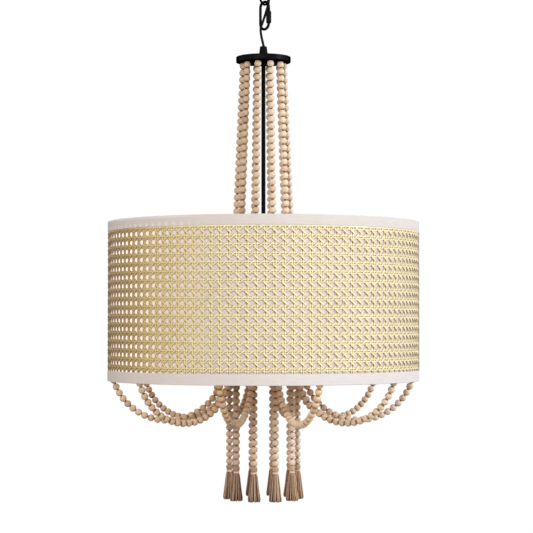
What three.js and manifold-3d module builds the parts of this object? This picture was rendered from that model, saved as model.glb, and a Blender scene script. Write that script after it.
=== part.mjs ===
// Beaded chandelier with a cane drum shade, in millimetres, +Z up.
// The origin is the middle of the face that meets the ceiling, and the front looks along -Y.
// Ten strings of wood beads fan out from a top plate, run through the shade and end in tassels.
// Ten swags of beads hang between the inner ring and the ring of the shade.

import * as THREE from 'three';
import { mergeVertices } from 'three/addons/utils/BufferGeometryUtils.js';
import Module from 'manifold-3d';

const wasm = await Module();
wasm.setup();

// Clearance between touching pieces, and the overrun of a cut past its face
const fit = 0.3;
const overrun = 1;

// Bead strings
const strandCount = 10;
const firstStrandAngle = 20.4;
const beadDiameter = 14;
const beadNeckDiameter = 4.6;
const stringTipDiameter = 2.4;
const beadSides = 5;
const topStrandRadius = 41;
const strandRadius = 67.8;
const upperBeadCount = 45;
const upperBeadPitch = 13.95;
const hiddenSleeveDiameter = 11.4;
const lowerBeadCount = 13;
const lowerBeadPitch = 13.45;

// Tassels
const tasselSides = 8;
const tasselHeadDiameter = 13.6;
const tasselHeadLength = 10.5;
const tasselBandDiameter = 10.8;
const tasselBandLength = 4.5;
const tasselShoulderDiameter = 14.4;
const tasselShoulderLength = 3;
const tasselHemDiameter = 25;
const tasselSkirtLength = 54;
const tasselHemRounding = 3;

// Swags, whose ends hang inside the outer edges of the two rings
const swagInnerInset = 9.2;
const swagOuterInset = 8.1;
const swagSag = 79.8;
const swagBeadPitch = 13.77;

// Ceiling canopy, its strap and the loop below it
const canopyDiameter = 120;
const canopyDepth = 25;
const canopyWall = 1.6;
const canopyChamfer = 10;
const canopySides = 20;
const strapEndGap = 6.4;
const strapLength = canopyDiameter - 2 * (canopyWall + strapEndGap);
const strapWidth = 20;
const strapThickness = 2.5;
const strapHoleDiameter = 5.2;
const strapHoleInset = 11;
const strapHoleSpacing = strapLength - 2 * strapHoleInset;
const nippleDiameter = 10;
const nippleGrip = 5;
const collarDiameter = 24;
const collarLength = 7.9;
const loopDiameter = 28;
const loopWire = 6;
const cordBossRadius = 20;
const cordBossDiameter = 12;
const cordBossLength = 5;

// Chain link and quick link
const hangerYaw = -42;
const linkWidth = 28;
const linkLength = 48;
const linkWire = 4.6;
const linkLean = 3;
const linkPlay = 0.6;
const quickLinkWidth = 28;
const quickLinkLength = 61;
const quickLinkWire = 5.6;
const sleeveDiameter = 10.4;
const sleeveLength = 25;
const sleeveChamfer = 1.4;
const sleeveDrop = 21.8;
const wireSides = 6;
const bendSteps = 7;

// Cord, along points chosen from the grip up to the canopy
const cordDiameter = 5;
const cordSides = 8;
const cordSteps = 22;
const cordRoute = [
  [0, 0, -173.5], [0, 0, -171.5], [-1, 0, -167], [-2.7, -0.3, -160], [-4.2, -0.6, -152.7],
  [-5.2, -0.9, -146], [-5.5, -1.1, -140.5], [-5.1, -1.1, -135], [-2.6, -0.7, -128], [0.3, -0.1, -119.5],
  [3.4, 0.4, -110], [7.4, 0.5, -97], [9.4, 0.5, -90], [10.7, 0.7, -82], [12.6, 0.9, -70],
  [15.4, 1.1, -58], [18.2, 1.3, -46], [19.7, 1.4, -37], [20, 1.4, -33.5], [20, 1.4, -30.6]
];

// Cord grip, top plate and rod
const gripTopDrop = 173.8;
const gripTopDiameter = 14;
const gripBottomDiameter = 19;
const gripLength = 21.3;
const gripEdge = 1.5;
const plateDiameter = 110;
const plateThickness = 11;
const plateEdge = 1;
const plateSides = 24;
const gripSides = 12;
const rodDiameter = 8.4;
const rodBore = 5;
const rodGrip = 8;
const rodSides = 10;
const finialDiameter = 20;
const finialLength = 9.5;
const finialBoreShare = 0.7;

// Flat steel frames: the inner ring of the strings, the ring and the spider of the shade
const frameThickness = 2.5;
const hubDiameter = 28;
const spokeCount = 5;
const spokeWidth = 8;
const beadRingInner = 58;
const beadRingOuter = 92;
const beadRingSides = 20;
const shadeRingWidth = 10;
const spiderBossLength = 8;

// Drum shade
const shadeDiameter = 622.4;
const shadeHeight = 315.2;
const shadeSides = 40;
const shadeSkirt = 7.6;
const linerThickness = 1.6;
const caneThickness = 2;
const trimThickness = 2.4;
const trimLip = 1.2;
const topTrimWidth = 20;
const bottomTrimWidth = 21;
const seamAngle = 63.6;
const seamWidth = 36;
const seamThickness = 1.2;
const seamSteps = 3;

// Lights inside the shade
const lightCount = 5;
const lightHubRise = 80;
const lightHubDiameter = 32;
const lightHubLength = 18;
const armDiameter = 8;
const armReach = 172;
const armDip = 16;
const armRise = 12;
const armSides = 6;
const armSteps = 8;
const panDiameter = 34;
const panThickness = 3;
const socketDiameter = 24;
const socketLength = 62;
const socketSides = 10;
const capDiameter = 14;
const capLength = 25;
const bulbDiameter = 35;
const bulbLength = 75;
const bulbSides = 10;

// Outline of the bulb's glass, as shares of its half width and of its length
const bulbShares = [[0.75, 0.15], [1, 0.38], [0.7, 0.68], [0.25, 0.93]];

// Radii and half sizes
const beadRadius = beadDiameter / 2;
const rodHoleRadius = rodDiameter / 2 + fit;
const strandStep = 360 / strandCount;

// Levels, from the ceiling down
const canopyBottom = -canopyDepth;
const collarTop = canopyBottom - fit;
const collarBottom = collarTop - collarLength;
const loopCentre = collarBottom - loopDiameter / 2 + loopWire;
const loopFloor = loopCentre - loopDiameter / 2 + loopWire;
const linkTop = loopFloor + linkPlay + linkWire;
const linkBottom = linkTop - linkLength;
const linkFloor = linkBottom + linkWire;
const quickLinkTop = linkFloor + linkPlay + quickLinkWire;
const gripTop = -gripTopDrop;
const plateTop = gripTop - gripLength - fit;
const plateBottom = plateTop - plateThickness;
const stringTop = plateBottom - fit;

// The upper strings lean outwards until their last bead stands over the strands' circle
const slantLength = (upperBeadCount - 1) * upperBeadPitch;
const slantOut = strandRadius - topStrandRadius;
const slantDrop = Math.sqrt(slantLength ** 2 - slantOut ** 2);
const upperStringBottom = stringTop - slantDrop - beadDiameter;
const ringTop = upperStringBottom - fit;
const ringBottom = ringTop - frameThickness;
const hangLevel = ringBottom - fit;

// Shade levels and radii, tied to the ring level
const shadeBottom = ringBottom - shadeSkirt;
const shadeTop = shadeBottom + shadeHeight;
const trimOuter = shadeDiameter / 2;
const trimInner = trimOuter - trimThickness;
const linerOuter = trimInner - fit;
const linerInner = linerOuter - linerThickness;
const linerTop = shadeTop - trimLip - fit;
const linerBottom = shadeBottom + trimLip + fit;
const caneOuter = trimInner + caneThickness;
const caneTop = shadeTop - topTrimWidth - fit;
const caneBottom = shadeBottom + bottomTrimWidth + fit;
const spiderTop = linerTop - fit;
const spiderBottom = spiderTop - frameThickness;
const shadeRingOuter = linerInner - fit;
const swagInnerRadius = beadRingOuter - swagInnerInset;
const swagOuterRadius = shadeRingOuter - swagOuterInset;

// Beads that show between the plate and the shade, with two more behind its edge
const hiddenBeadMargin = 2;
const shownBeadCount = Math.ceil((stringTop - shadeTop) / upperBeadPitch) + hiddenBeadMargin;

// Light levels
const lightHubLevel = ringTop + lightHubRise;
const panBottom = lightHubLevel + armRise;
const panTop = panBottom + panThickness;
const socketBottom = panTop + fit;
const socketTop = socketBottom + socketLength;
const capBottom = socketTop - capLength;

// Rod and finial levels
const rodTop = gripTop - gripLength + rodGrip;
const finialTop = hangLevel;
const rodBottom = finialTop - finialLength * finialBoreShare;

const finish = {
  steel: new THREE.MeshStandardMaterial({ color: 0x1d1c1c, roughness: 0.45, metalness: 0.7 }),
  cord: new THREE.MeshStandardMaterial({ color: 0x171616, roughness: 0.8, metalness: 0 }),
  bead: new THREE.MeshStandardMaterial({ color: 0xe3cdb2, roughness: 0.6, metalness: 0 }),
  cane: new THREE.MeshStandardMaterial({ color: 0xe9dab0, roughness: 0.65, metalness: 0 }),
  fabric: new THREE.MeshStandardMaterial({ color: 0xece8e4, roughness: 0.9, metalness: 0 }),
  liner: new THREE.MeshStandardMaterial({ color: 0xf1eff3, roughness: 0.85, metalness: 0 }),
  socket: new THREE.MeshStandardMaterial({ color: 0xece6da, roughness: 0.5, metalness: 0 }),
  bulb: new THREE.MeshStandardMaterial({ color: 0xf6f2ea, roughness: 0.25, metalness: 0 })
};

for (const material of Object.values(finish)) {
  material.flatShading = true;
}

// Closed geometry with shared corners, no collapsed faces and its faces pointing out
function closed(source) {
  const bare = source.clone();
  bare.deleteAttribute('normal');
  bare.deleteAttribute('uv');
  const merged = mergeVertices(bare);
  const corner = merged.getIndex();
  const faces = [];
  for (let i = 0; i < corner.count; i += 3) {
    const [a, b, c] = [corner.getX(i), corner.getX(i + 1), corner.getX(i + 2)];
    if (a !== b && b !== c && c !== a) {
      faces.push([a, b, c]);
    }
  }
  const place = merged.getAttribute('position');
  const point = (index) => new THREE.Vector3().fromBufferAttribute(place, index);
  let volume = 0;
  for (const [a, b, c] of faces) {
    volume += point(a).dot(point(b).cross(point(c)));
  }
  merged.setIndex(faces.flatMap(([a, b, c]) => (volume < 0 ? [a, c, b] : [a, b, c])));
  merged.computeVertexNormals();
  return merged;
}

function toSolid(geometry) {
  const shape = closed(geometry);
  return new wasm.Manifold(new wasm.Mesh({
    numProp: 3,
    vertProperties: new Float32Array(shape.getAttribute('position').array),
    triVerts: new Uint32Array(shape.getIndex().array)
  }));
}

function toGeometry(solid) {
  const { vertProperties, triVerts } = solid.getMesh();
  const geometry = new THREE.BufferGeometry();
  geometry.setAttribute('position', new THREE.BufferAttribute(vertProperties, 3));
  geometry.setIndex(new THREE.BufferAttribute(triVerts, 1));
  geometry.computeVertexNormals();
  return geometry;
}

function joined(geometries) {
  return toGeometry(geometries.map(toSolid).reduce((whole, piece) => whole.add(piece)));
}

function cut(geometry, tools) {
  return toGeometry(tools.map(toSolid).reduce((whole, tool) => whole.subtract(tool), toSolid(geometry)));
}

// Turned shape about Z from an outline of radius and height
function turned(outline, sides) {
  const points = outline.map(([radius, height]) => new THREE.Vector2(radius, height));
  return closed(new THREE.LatheGeometry(points, sides).rotateX(Math.PI / 2));
}

// Turned ring with a rectangular section
function hoop(inner, outer, bottom, top, sides) {
  return turned([[inner, bottom], [outer, bottom], [outer, top], [inner, top], [inner, bottom]], sides);
}

function disc(radius, bottom, top, sides) {
  return turned([[0, bottom], [radius, bottom], [radius, top], [0, top]], sides);
}

function block(sizeX, sizeY, sizeZ, x, y, z) {
  return new THREE.BoxGeometry(sizeX, sizeY, sizeZ).translate(x, y, z);
}

// Round section with its own radius at each step of a route in the XZ plane
function swept(steps, sides, isLoop) {
  const corners = [];
  const faces = [];
  const last = steps.length - 1;
  steps.forEach(({ x, z, radius }, i) => {
    const before = steps[isLoop ? (i + last) % (last + 1) : Math.max(i - 1, 0)];
    const after = steps[isLoop ? (i + 1) % (last + 1) : Math.min(i + 1, last)];
    const along = new THREE.Vector2(after.x - before.x, after.z - before.z).normalize();
    for (let side = 0; side < sides; side += 1) {
      const angle = (2 * Math.PI * side) / sides;
      const across = radius * Math.cos(angle);
      corners.push(x + across * along.y, radius * Math.sin(angle), z - across * along.x);
    }
  });
  const stretches = isLoop ? steps.length : last;
  for (let i = 0; i < stretches; i += 1) {
    const here = i * sides;
    const next = ((i + 1) % steps.length) * sides;
    for (let side = 0; side < sides; side += 1) {
      const turn = (side + 1) % sides;
      faces.push(here + side, here + turn, next + turn, here + side, next + turn, next + side);
    }
  }
  if (!isLoop) {
    for (let side = 1; side < sides - 1; side += 1) {
      faces.push(0, side + 1, side);
      faces.push(last * sides, last * sides + side, last * sides + side + 1);
    }
  }
  const geometry = new THREE.BufferGeometry();
  geometry.setAttribute('position', new THREE.Float32BufferAttribute(corners, 3));
  geometry.setIndex(faces);
  return closed(geometry);
}

// Steps of a string of beads, a waist between two beads and a cord tip at each end.
// place gives the point of the string at a distance from the first bead's middle.
function beadSteps(place, count, pitch, hasEndTip) {
  const steps = [{ ...place(-beadRadius), radius: stringTipDiameter / 2 }];
  for (let i = 0; i < count; i += 1) {
    steps.push({ ...place(i * pitch), radius: beadRadius });
    const isEnd = hasEndTip && i === count - 1;
    steps.push({
      ...place(i * pitch + (isEnd ? beadRadius : pitch / 2)),
      radius: (isEnd ? stringTipDiameter : beadNeckDiameter) / 2
    });
  }
  return steps;
}

// Upper string: beads down to the shade, then a plain sleeve inside it
function upperString() {
  const place = (distance) => ({
    x: topStrandRadius + (distance * slantOut) / slantLength,
    z: stringTop - beadRadius - (distance * slantDrop) / slantLength
  });
  const steps = beadSteps(place, shownBeadCount, upperBeadPitch, false);
  const sleeveStart = (shownBeadCount - 0.5) * upperBeadPitch + beadNeckDiameter;
  const sleeve = { radius: hiddenSleeveDiameter / 2 };
  steps.push({ ...place(sleeveStart), ...sleeve });
  steps.push({ ...place(slantLength), ...sleeve });
  steps.push({ x: strandRadius, z: upperStringBottom, radius: stringTipDiameter / 2 });
  return swept(steps, beadSides, false);
}

// Lower string with its tassel: round head, tied band and flared skirt
function tasselString() {
  const place = (distance) => ({ x: strandRadius, z: hangLevel - beadRadius - distance });
  const beads = swept(beadSteps(place, lowerBeadCount, lowerBeadPitch, true), beadSides, false);
  const headTop = hangLevel - beadRadius - (lowerBeadCount - 0.5) * lowerBeadPitch;
  const bandTop = headTop - tasselHeadLength;
  const bandBottom = bandTop - tasselBandLength;
  const shoulder = bandBottom - tasselShoulderLength;
  const hem = bandBottom - tasselSkirtLength;
  const tassel = turned([
    [0, headTop],
    [tasselHeadDiameter / 2, headTop - tasselHeadLength / 2],
    [tasselBandDiameter / 2, bandTop],
    [tasselBandDiameter / 2, bandBottom],
    [tasselShoulderDiameter / 2, shoulder],
    [tasselHemDiameter / 2, hem + tasselHemRounding],
    [tasselHemDiameter / 2 - tasselHemRounding, hem],
    [0, hem]
  ], tasselSides).translate(strandRadius, 0, 0);
  return joined([beads, tassel]);
}

// Swag: a round arc of beads whose end beads hang under the two rings
function swag() {
  const halfSpan = (swagOuterRadius - swagInnerRadius) / 2;
  const arcRadius = (halfSpan ** 2 + swagSag ** 2) / (2 * swagSag);
  const arcCentreX = swagInnerRadius + halfSpan;
  const arcCentreZ = hangLevel - beadRadius - swagSag + arcRadius;
  const halfAngle = Math.asin(halfSpan / arcRadius);
  const count = Math.round((2 * halfAngle * arcRadius) / swagBeadPitch) + 1;
  const pitch = (2 * halfAngle * arcRadius) / (count - 1);
  const place = (distance) => {
    const angle = distance / arcRadius - halfAngle;
    return { x: arcCentreX + arcRadius * Math.sin(angle), z: arcCentreZ - arcRadius * Math.cos(angle) };
  };
  const steps = beadSteps(place, count, pitch, true);
  steps[0] = { ...steps[0], x: swagInnerRadius, z: hangLevel };
  steps[steps.length - 1] = { ...steps[steps.length - 1], x: swagOuterRadius, z: hangLevel };
  return swept(steps, beadSides, false);
}

// Closed link of round wire with straight legs, hanging from its top
function link(width, length, wireDiameter) {
  const bend = (width - wireDiameter) / 2;
  const straight = (length - wireDiameter) / 2 - bend;
  const radius = wireDiameter / 2;
  const steps = [];
  for (const end of [1, -1]) {
    for (let i = 0; i <= bendSteps; i += 1) {
      const angle = (Math.PI * i) / bendSteps;
      const x = end * bend * Math.cos(angle);
      steps.push({ x, z: end * (straight + bend * Math.sin(angle)) - length / 2, radius });
    }
  }
  return swept(steps, wireSides, true);
}

// Strap of the ceiling box, with the threaded nipple that carries everything
function mountingStrap() {
  const bar = block(strapLength, strapWidth, strapThickness, 0, 0, -strapThickness / 2);
  const nipple = disc(nippleDiameter / 2, collarTop - nippleGrip, -strapThickness / 2, rodSides);
  const holes = [-1, 1].map((side) => disc(
    strapHoleDiameter / 2, -strapThickness - overrun, overrun, cordSides
  ).translate((side * strapHoleSpacing) / 2, 0, 0));
  return cut(joined([bar, nipple]), holes);
}

// Dished canopy, open to the ceiling, with a boss where the cord enters
function ceilingCanopy() {
  const rim = canopyDiameter / 2;
  const hole = nippleDiameter / 2 + fit;
  const dish = turned([
    [hole, canopyBottom],
    [rim - canopyChamfer, canopyBottom],
    [rim, canopyBottom + canopyChamfer],
    [rim, 0],
    [rim - canopyWall, 0],
    [rim - canopyWall, canopyBottom + canopyChamfer + canopyWall / 2],
    [rim - canopyChamfer - canopyWall / 2, canopyBottom + canopyWall],
    [hole, canopyBottom + canopyWall],
    [hole, canopyBottom]
  ], canopySides);
  const boss = disc(cordBossDiameter / 2, canopyBottom - cordBossLength, canopyBottom + canopyWall / 2, rodSides);
  return joined([dish, boss.translate(cordBossRadius, cordRoute.at(-1)[1], 0)]);
}

// Collar that screws onto the nipple and holds the canopy up, with a round eye below
function canopyLoop() {
  const collar = disc(collarDiameter / 2, collarBottom, collarTop, canopySides);
  const eye = link(loopDiameter, loopDiameter, loopWire).translate(0, 0, loopCentre + loopDiameter / 2);
  const bore = disc(nippleDiameter / 2 + fit, collarTop - nippleGrip - fit, collarTop + overrun, rodSides);
  return cut(joined([collar, eye]), [bore]);
}

function quickLinkSleeve() {
  const outer = sleeveDiameter / 2;
  const bore = quickLinkWire / 2 + fit;
  return turned([
    [bore, -sleeveLength],
    [outer - sleeveChamfer, -sleeveLength],
    [outer, sleeveChamfer - sleeveLength],
    [outer, -sleeveChamfer],
    [outer - sleeveChamfer, 0],
    [bore, 0],
    [bore, -sleeveLength]
  ], wireSides);
}

function cordTube() {
  const section = new THREE.Shape().absarc(0, 0, cordDiameter / 2, 0, 2 * Math.PI);
  const route = new THREE.CatmullRomCurve3(cordRoute.map((point) => new THREE.Vector3(...point)));
  const sweep = { steps: cordSteps, curveSegments: cordSides / 2, extrudePath: route };
  return closed(new THREE.ExtrudeGeometry(section, sweep));
}

function cordGrip() {
  const top = gripTopDiameter / 2;
  const bottom = gripBottomDiameter / 2;
  const seat = rodTop + fit;
  return turned([
    [0, gripTop],
    [top - gripEdge, gripTop],
    [top, gripTop - gripEdge],
    [bottom, gripTop - gripLength],
    [rodHoleRadius, gripTop - gripLength],
    [rodHoleRadius, seat],
    [0, seat]
  ], gripSides);
}

function topPlate() {
  const rim = plateDiameter / 2;
  return turned([
    [rodHoleRadius, plateBottom],
    [rim - plateEdge, plateBottom],
    [rim, plateBottom + plateEdge],
    [rim, plateTop - plateEdge],
    [rim - plateEdge, plateTop],
    [rodHoleRadius, plateTop],
    [rodHoleRadius, plateBottom]
  ], plateSides);
}

function finial() {
  const radius = finialDiameter / 2;
  const seat = rodBottom - fit;
  return turned([
    [0, finialTop - finialLength],
    [radius / 2, finialTop - finialLength],
    [radius, finialTop - finialLength / 2],
    [radius, finialTop],
    [rodHoleRadius, finialTop],
    [rodHoleRadius, seat],
    [0, seat]
  ], rodSides);
}

// Flat ring with a hub for the rod and spokes that pass between the strings
function spokedRing(inner, outer, bottom, top, hubTop, sides) {
  const ring = hoop(inner, outer, bottom, top, sides);
  const hub = hoop(rodHoleRadius, hubDiameter / 2, bottom, hubTop, rodSides);
  const spokeStart = (rodHoleRadius + hubDiameter / 2) / 2;
  const spokeEnd = (inner + outer) / 2;
  const spokes = [];
  for (let i = 0; i < spokeCount; i += 1) {
    const spoke = block(
      spokeEnd - spokeStart, spokeWidth, top - bottom, (spokeStart + spokeEnd) / 2, 0, (bottom + top) / 2
    );
    spokes.push(spoke.rotateZ(THREE.MathUtils.degToRad(strandStep / 2 + (i * 360) / spokeCount)));
  }
  return joined([ring, hub, ...spokes]);
}

// Trim band that covers an edge of the shade, with its lip turned over the liner
function trim(edge, inwards, width) {
  const lip = edge + inwards * trimLip;
  const end = edge + inwards * width;
  return turned([
    [linerInner, edge], [trimOuter, edge], [trimOuter, end],
    [trimInner, end], [trimInner, lip], [linerInner, lip], [linerInner, edge]
  ], shadeSides);
}

// Upright band over the joint in the cane
function seamStrip() {
  const inner = caneOuter + fit;
  const outer = inner + seamThickness;
  const half = seamWidth / inner / 2;
  const band = new THREE.Shape().absarc(0, 0, outer, -half, half).absarc(0, 0, inner, half, -half, true);
  const height = caneTop - caneBottom;
  return closed(new THREE.ExtrudeGeometry(band, { depth: height, bevelEnabled: false, curveSegments: seamSteps }))
    .translate(0, 0, caneBottom);
}

// Hub on the rod with curved arms that rise into a pan under each socket
function lightHub() {
  const hubBottom = lightHubLevel - lightHubLength / 2;
  const hubTop = lightHubLevel + lightHubLength / 2;
  const hub = hoop(rodHoleRadius, lightHubDiameter / 2, hubBottom, hubTop, rodSides);
  const armStart = (rodHoleRadius + lightHubDiameter / 2) / 2;
  const route = new THREE.CubicBezierCurve3(
    new THREE.Vector3(armStart, 0, lightHubLevel),
    new THREE.Vector3(armReach / 2, 0, lightHubLevel - armDip),
    new THREE.Vector3(armReach, 0, lightHubLevel - armDip),
    new THREE.Vector3(armReach, 0, panBottom + panThickness / 2)
  );
  const section = new THREE.Shape().absarc(0, 0, armDiameter / 2, 0, 2 * Math.PI);
  const sweep = { steps: armSteps, curveSegments: armSides / 2, extrudePath: route };
  const arm = new THREE.ExtrudeGeometry(section, sweep);
  const pan = disc(panDiameter / 2, panBottom, panTop, rodSides).translate(armReach, 0, 0);
  const pieces = [hub];
  for (let i = 0; i < lightCount; i += 1) {
    const turn = lightTurn(i);
    pieces.push(arm.clone().rotateZ(turn), pan.clone().rotateZ(turn));
  }
  return joined(pieces);
}

// Lights stand in the gaps between strings that the spokes leave free
function lightTurn(index) {
  return THREE.MathUtils.degToRad(strandStep / 2 + ((index + 0.5) * 360) / lightCount);
}

function socket() {
  const bore = capDiameter / 2 + fit;
  const seat = capBottom - fit;
  return turned([
    [0, socketBottom], [socketDiameter / 2, socketBottom], [socketDiameter / 2, socketTop],
    [bore, socketTop], [bore, seat], [0, seat]
  ], socketSides);
}

function bulb() {
  const cap = capDiameter / 2;
  const glass = bulbDiameter / 2;
  return turned([
    [0, capBottom],
    [cap, capBottom],
    [cap, socketTop],
    ...bulbShares.map(([width, height]) => [glass * width, socketTop + bulbLength * height]),
    [0, socketTop + bulbLength]
  ], bulbSides);
}

function named(name, geometry, material) {
  const mesh = new THREE.Mesh(geometry, material);
  mesh.name = name;
  return mesh;
}

// Ceiling hardware, chain and cord
function hanger() {
  const group = new THREE.Group();
  group.add(
    named('mounting_strap', mountingStrap(), finish.steel),
    named('ceiling_canopy', ceilingCanopy(), finish.steel)
  );
  const eye = new THREE.Group();
  eye.rotation.z = THREE.MathUtils.degToRad(hangerYaw);
  eye.add(named('canopy_loop', canopyLoop(), finish.steel));

  const leaning = new THREE.Group();
  leaning.position.z = linkTop - linkWire / 2;
  leaning.rotation.y = -THREE.MathUtils.degToRad(linkLean);
  const chainLink = named('chain_link', link(linkWidth, linkLength, linkWire), finish.steel);
  chainLink.rotation.z = THREE.MathUtils.degToRad(hangerYaw + 90);
  chainLink.position.z = linkWire / 2;
  leaning.add(chainLink);

  const quick = new THREE.Group();
  quick.position.x = Math.sin(THREE.MathUtils.degToRad(linkLean)) * (linkLength - linkWire);
  quick.position.z = quickLinkTop;
  quick.rotation.z = THREE.MathUtils.degToRad(hangerYaw);
  quick.add(named('quick_link', link(quickLinkWidth, quickLinkLength, quickLinkWire), finish.steel));
  const sleeve = named('quick_link_sleeve', quickLinkSleeve(), finish.steel);
  sleeve.position.x = (quickLinkWidth - quickLinkWire) / 2;
  sleeve.position.z = -sleeveDrop;
  sleeve.rotation.z = Math.PI / wireSides;
  quick.add(sleeve);

  group.add(eye, leaning, quick, named('cord', cordTube(), finish.cord));
  return group;
}

// Pieces on the centre line, from the cord grip to the finial
function spine() {
  const group = new THREE.Group();
  const spiderInner = shadeRingOuter - shadeRingWidth;
  group.add(
    named('cord_grip', cordGrip(), finish.steel),
    named('top_plate', topPlate(), finish.steel),
    named('center_rod', hoop(rodBore / 2, rodDiameter / 2, rodBottom, rodTop, rodSides), finish.steel),
    named('shade_spider', spokedRing(
      spiderInner, shadeRingOuter, spiderBottom, spiderTop, spiderBottom + spiderBossLength, shadeSides
    ), finish.steel),
    named('light_hub', lightHub(), finish.steel),
    named('bead_ring', spokedRing(
      beadRingInner, beadRingOuter, ringBottom, ringTop, ringTop, beadRingSides
    ), finish.steel),
    named('finial', finial(), finish.steel)
  );
  return group;
}

function shade() {
  const group = new THREE.Group();
  const ringInner = shadeRingOuter - shadeRingWidth;
  const strip = named('seam_strip', seamStrip(), finish.fabric);
  strip.rotation.z = THREE.MathUtils.degToRad(seamAngle);
  group.add(
    named('shade_ring', hoop(ringInner, shadeRingOuter, ringBottom, ringTop, shadeSides), finish.steel),
    named('shade_liner', hoop(linerInner, linerOuter, linerBottom, linerTop, shadeSides), finish.liner),
    named('shade_cane', hoop(trimInner, caneOuter, caneBottom, caneTop, shadeSides), finish.cane),
    named('top_trim', trim(shadeTop, -1, topTrimWidth), finish.fabric),
    named('bottom_trim', trim(shadeBottom, 1, bottomTrimWidth), finish.fabric),
    strip
  );
  return group;
}

function lights() {
  const group = new THREE.Group();
  const socketShape = socket();
  const bulbShape = bulb();
  for (let i = 0; i < lightCount; i += 1) {
    const light = new THREE.Group();
    light.rotation.z = lightTurn(i);
    const socketMesh = named(`socket_${i + 1}`, socketShape, finish.socket);
    const bulbMesh = named(`bulb_${i + 1}`, bulbShape, finish.bulb);
    socketMesh.position.x = armReach;
    bulbMesh.position.x = armReach;
    light.add(socketMesh, bulbMesh);
    group.add(light);
  }
  return group;
}

function strings() {
  const group = new THREE.Group();
  const shapes = { upper_string: upperString(), tassel_string: tasselString(), swag: swag() };
  for (let i = 0; i < strandCount; i += 1) {
    const spoke = new THREE.Group();
    spoke.rotation.z = THREE.MathUtils.degToRad(i * strandStep);
    const number = String(i + 1).padStart(2, '0');
    for (const [name, shape] of Object.entries(shapes)) {
      spoke.add(named(`${name}_${number}`, shape, finish.bead));
    }
    group.add(spoke);
  }
  return group;
}

// The fixture is turned so that its first strand stands where the photograph has it
const fixture = new THREE.Group();
fixture.rotation.z = THREE.MathUtils.degToRad(firstStrandAngle - 90);
fixture.add(spine(), shade(), lights(), strings());

const chandelier = new THREE.Group();
chandelier.name = 'beaded_chandelier';
chandelier.add(hanger(), fixture);

export default chandelier;
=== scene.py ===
"""Beaded chandelier with a cane drum shade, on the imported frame. Metres, +Z up, front towards -Y."""

import math
import random

import bpy
import numpy as np
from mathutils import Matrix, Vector


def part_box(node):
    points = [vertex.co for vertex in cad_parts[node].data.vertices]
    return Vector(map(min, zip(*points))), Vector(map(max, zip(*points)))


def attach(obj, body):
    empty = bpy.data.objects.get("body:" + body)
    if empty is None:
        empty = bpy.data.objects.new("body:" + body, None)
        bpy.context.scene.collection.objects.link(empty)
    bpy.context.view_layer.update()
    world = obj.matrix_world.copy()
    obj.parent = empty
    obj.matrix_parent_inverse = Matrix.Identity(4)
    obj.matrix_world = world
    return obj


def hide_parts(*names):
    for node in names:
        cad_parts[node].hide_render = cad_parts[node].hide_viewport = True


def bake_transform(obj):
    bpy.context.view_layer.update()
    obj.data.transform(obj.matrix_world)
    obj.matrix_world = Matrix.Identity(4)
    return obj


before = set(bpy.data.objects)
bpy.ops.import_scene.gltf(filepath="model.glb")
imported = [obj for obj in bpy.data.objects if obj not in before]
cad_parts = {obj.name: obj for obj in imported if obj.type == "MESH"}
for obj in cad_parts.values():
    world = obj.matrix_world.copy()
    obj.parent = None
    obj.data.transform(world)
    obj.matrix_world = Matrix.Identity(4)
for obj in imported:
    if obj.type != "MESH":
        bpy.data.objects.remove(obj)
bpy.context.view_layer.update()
draw = random.Random(11)

MM = 0.001
TAU = 2 * math.pi

# Camera, at the photograph's distance and height
CAMERA_PLACE = (6.2 * MM, -3554 * MM, -725 * MM)
CAMERA_TILT = math.radians(1.746)
CAMERA_LENS = 119.8
CAMERA_SENSOR = 36

# Bead strings, as in the frame. Tones run from 0, dark, to 1, pale.
STRAND_COUNT = 10
FIRST_STRAND = math.radians(20.4)
BEAD_RADIUS = 7 * MM
BEAD_HOLE_RADIUS = 1.2 * MM
BEAD_HOLE_FLOOR = 0.24 * MM
BEAD_HOLE_DEPTH = 1.6 * MM
STRING_RADIUS = 0.8 * MM
TOP_STRAND_RADIUS = 41 * MM
STRAND_RADIUS = 67.8 * MM
UPPER_BEADS = 45
UPPER_PITCH = 13.95 * MM
LOWER_BEADS = 13
LOWER_PITCH = 13.45 * MM
SWAG_INNER = 82.8 * MM
SWAG_OUTER = 298.5 * MM
SWAG_SAG = 79.8 * MM
SWAG_BEADS = 22
BEAD_SIDES = 18
BEAD_RINGS = 11
BEAD_TONE = (0.66, 0.17)
DARKEST_BEAD = 0.3
# Painted shade towards each hole, where the beads meet
HOLE_SHADE = 0.85
HOLE_SHADE_START = 0.56
HOLE_SHADE_RUN = 0.34

# Tassels
HEAD_RADIUS = 6.7 * MM
HEAD_LENGTH = 10.5 * MM
HEAD_SWELL = (0.16, 0.74, 0.42)
HEAD_CREASE = (0.07, 0.52, 0.07)
HEAD_RIDGES = 17
HEAD_RIDGE = 0.035
HEAD_TONE = 0.8
BAND_RADIUS = 5.6 * MM
BAND_CORE = 0.3 * BAND_RADIUS
BAND_LENGTH = 4.5 * MM
BAND_THREADS = 3
BAND_BULGE = 0.35
BAND_CREASE = 0.9 * MM
SKIRT_LENGTH = 54 * MM
SKIRT_TOP_RADIUS = 5.9 * MM
SKIRT_SWELL = 1.3 * MM
SHOULDER_SHARE = 0.12
HEM_START = 0.88
HEM_RADIUS = 13.9 * MM
HEM_ROUNDING = 1.8 * MM
CORE_SHARES = ((0.0, 0.72), (0.5, 0.70), (0.9, 0.72), (0.94, 0.2))
# Painted shade on the core inside the skirt
CORE_SHADE = 0.06
YARN_RADIUS = 0.62 * MM
YARN_CLUMPS = 17
YARN_LAYERS = ((102, 1.0), (46, 0.76), (22, 0.48))
YARN_STEPS = 12
YARN_SCATTER = 0.3
YARN_PULL = (0.35, 0.7)
YARN_SHORTEST = 0.982
YARN_SWAY = 0.06
YARN_WAVE = 0.012
YARN_TONE = (0.74, 0.15)
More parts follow.
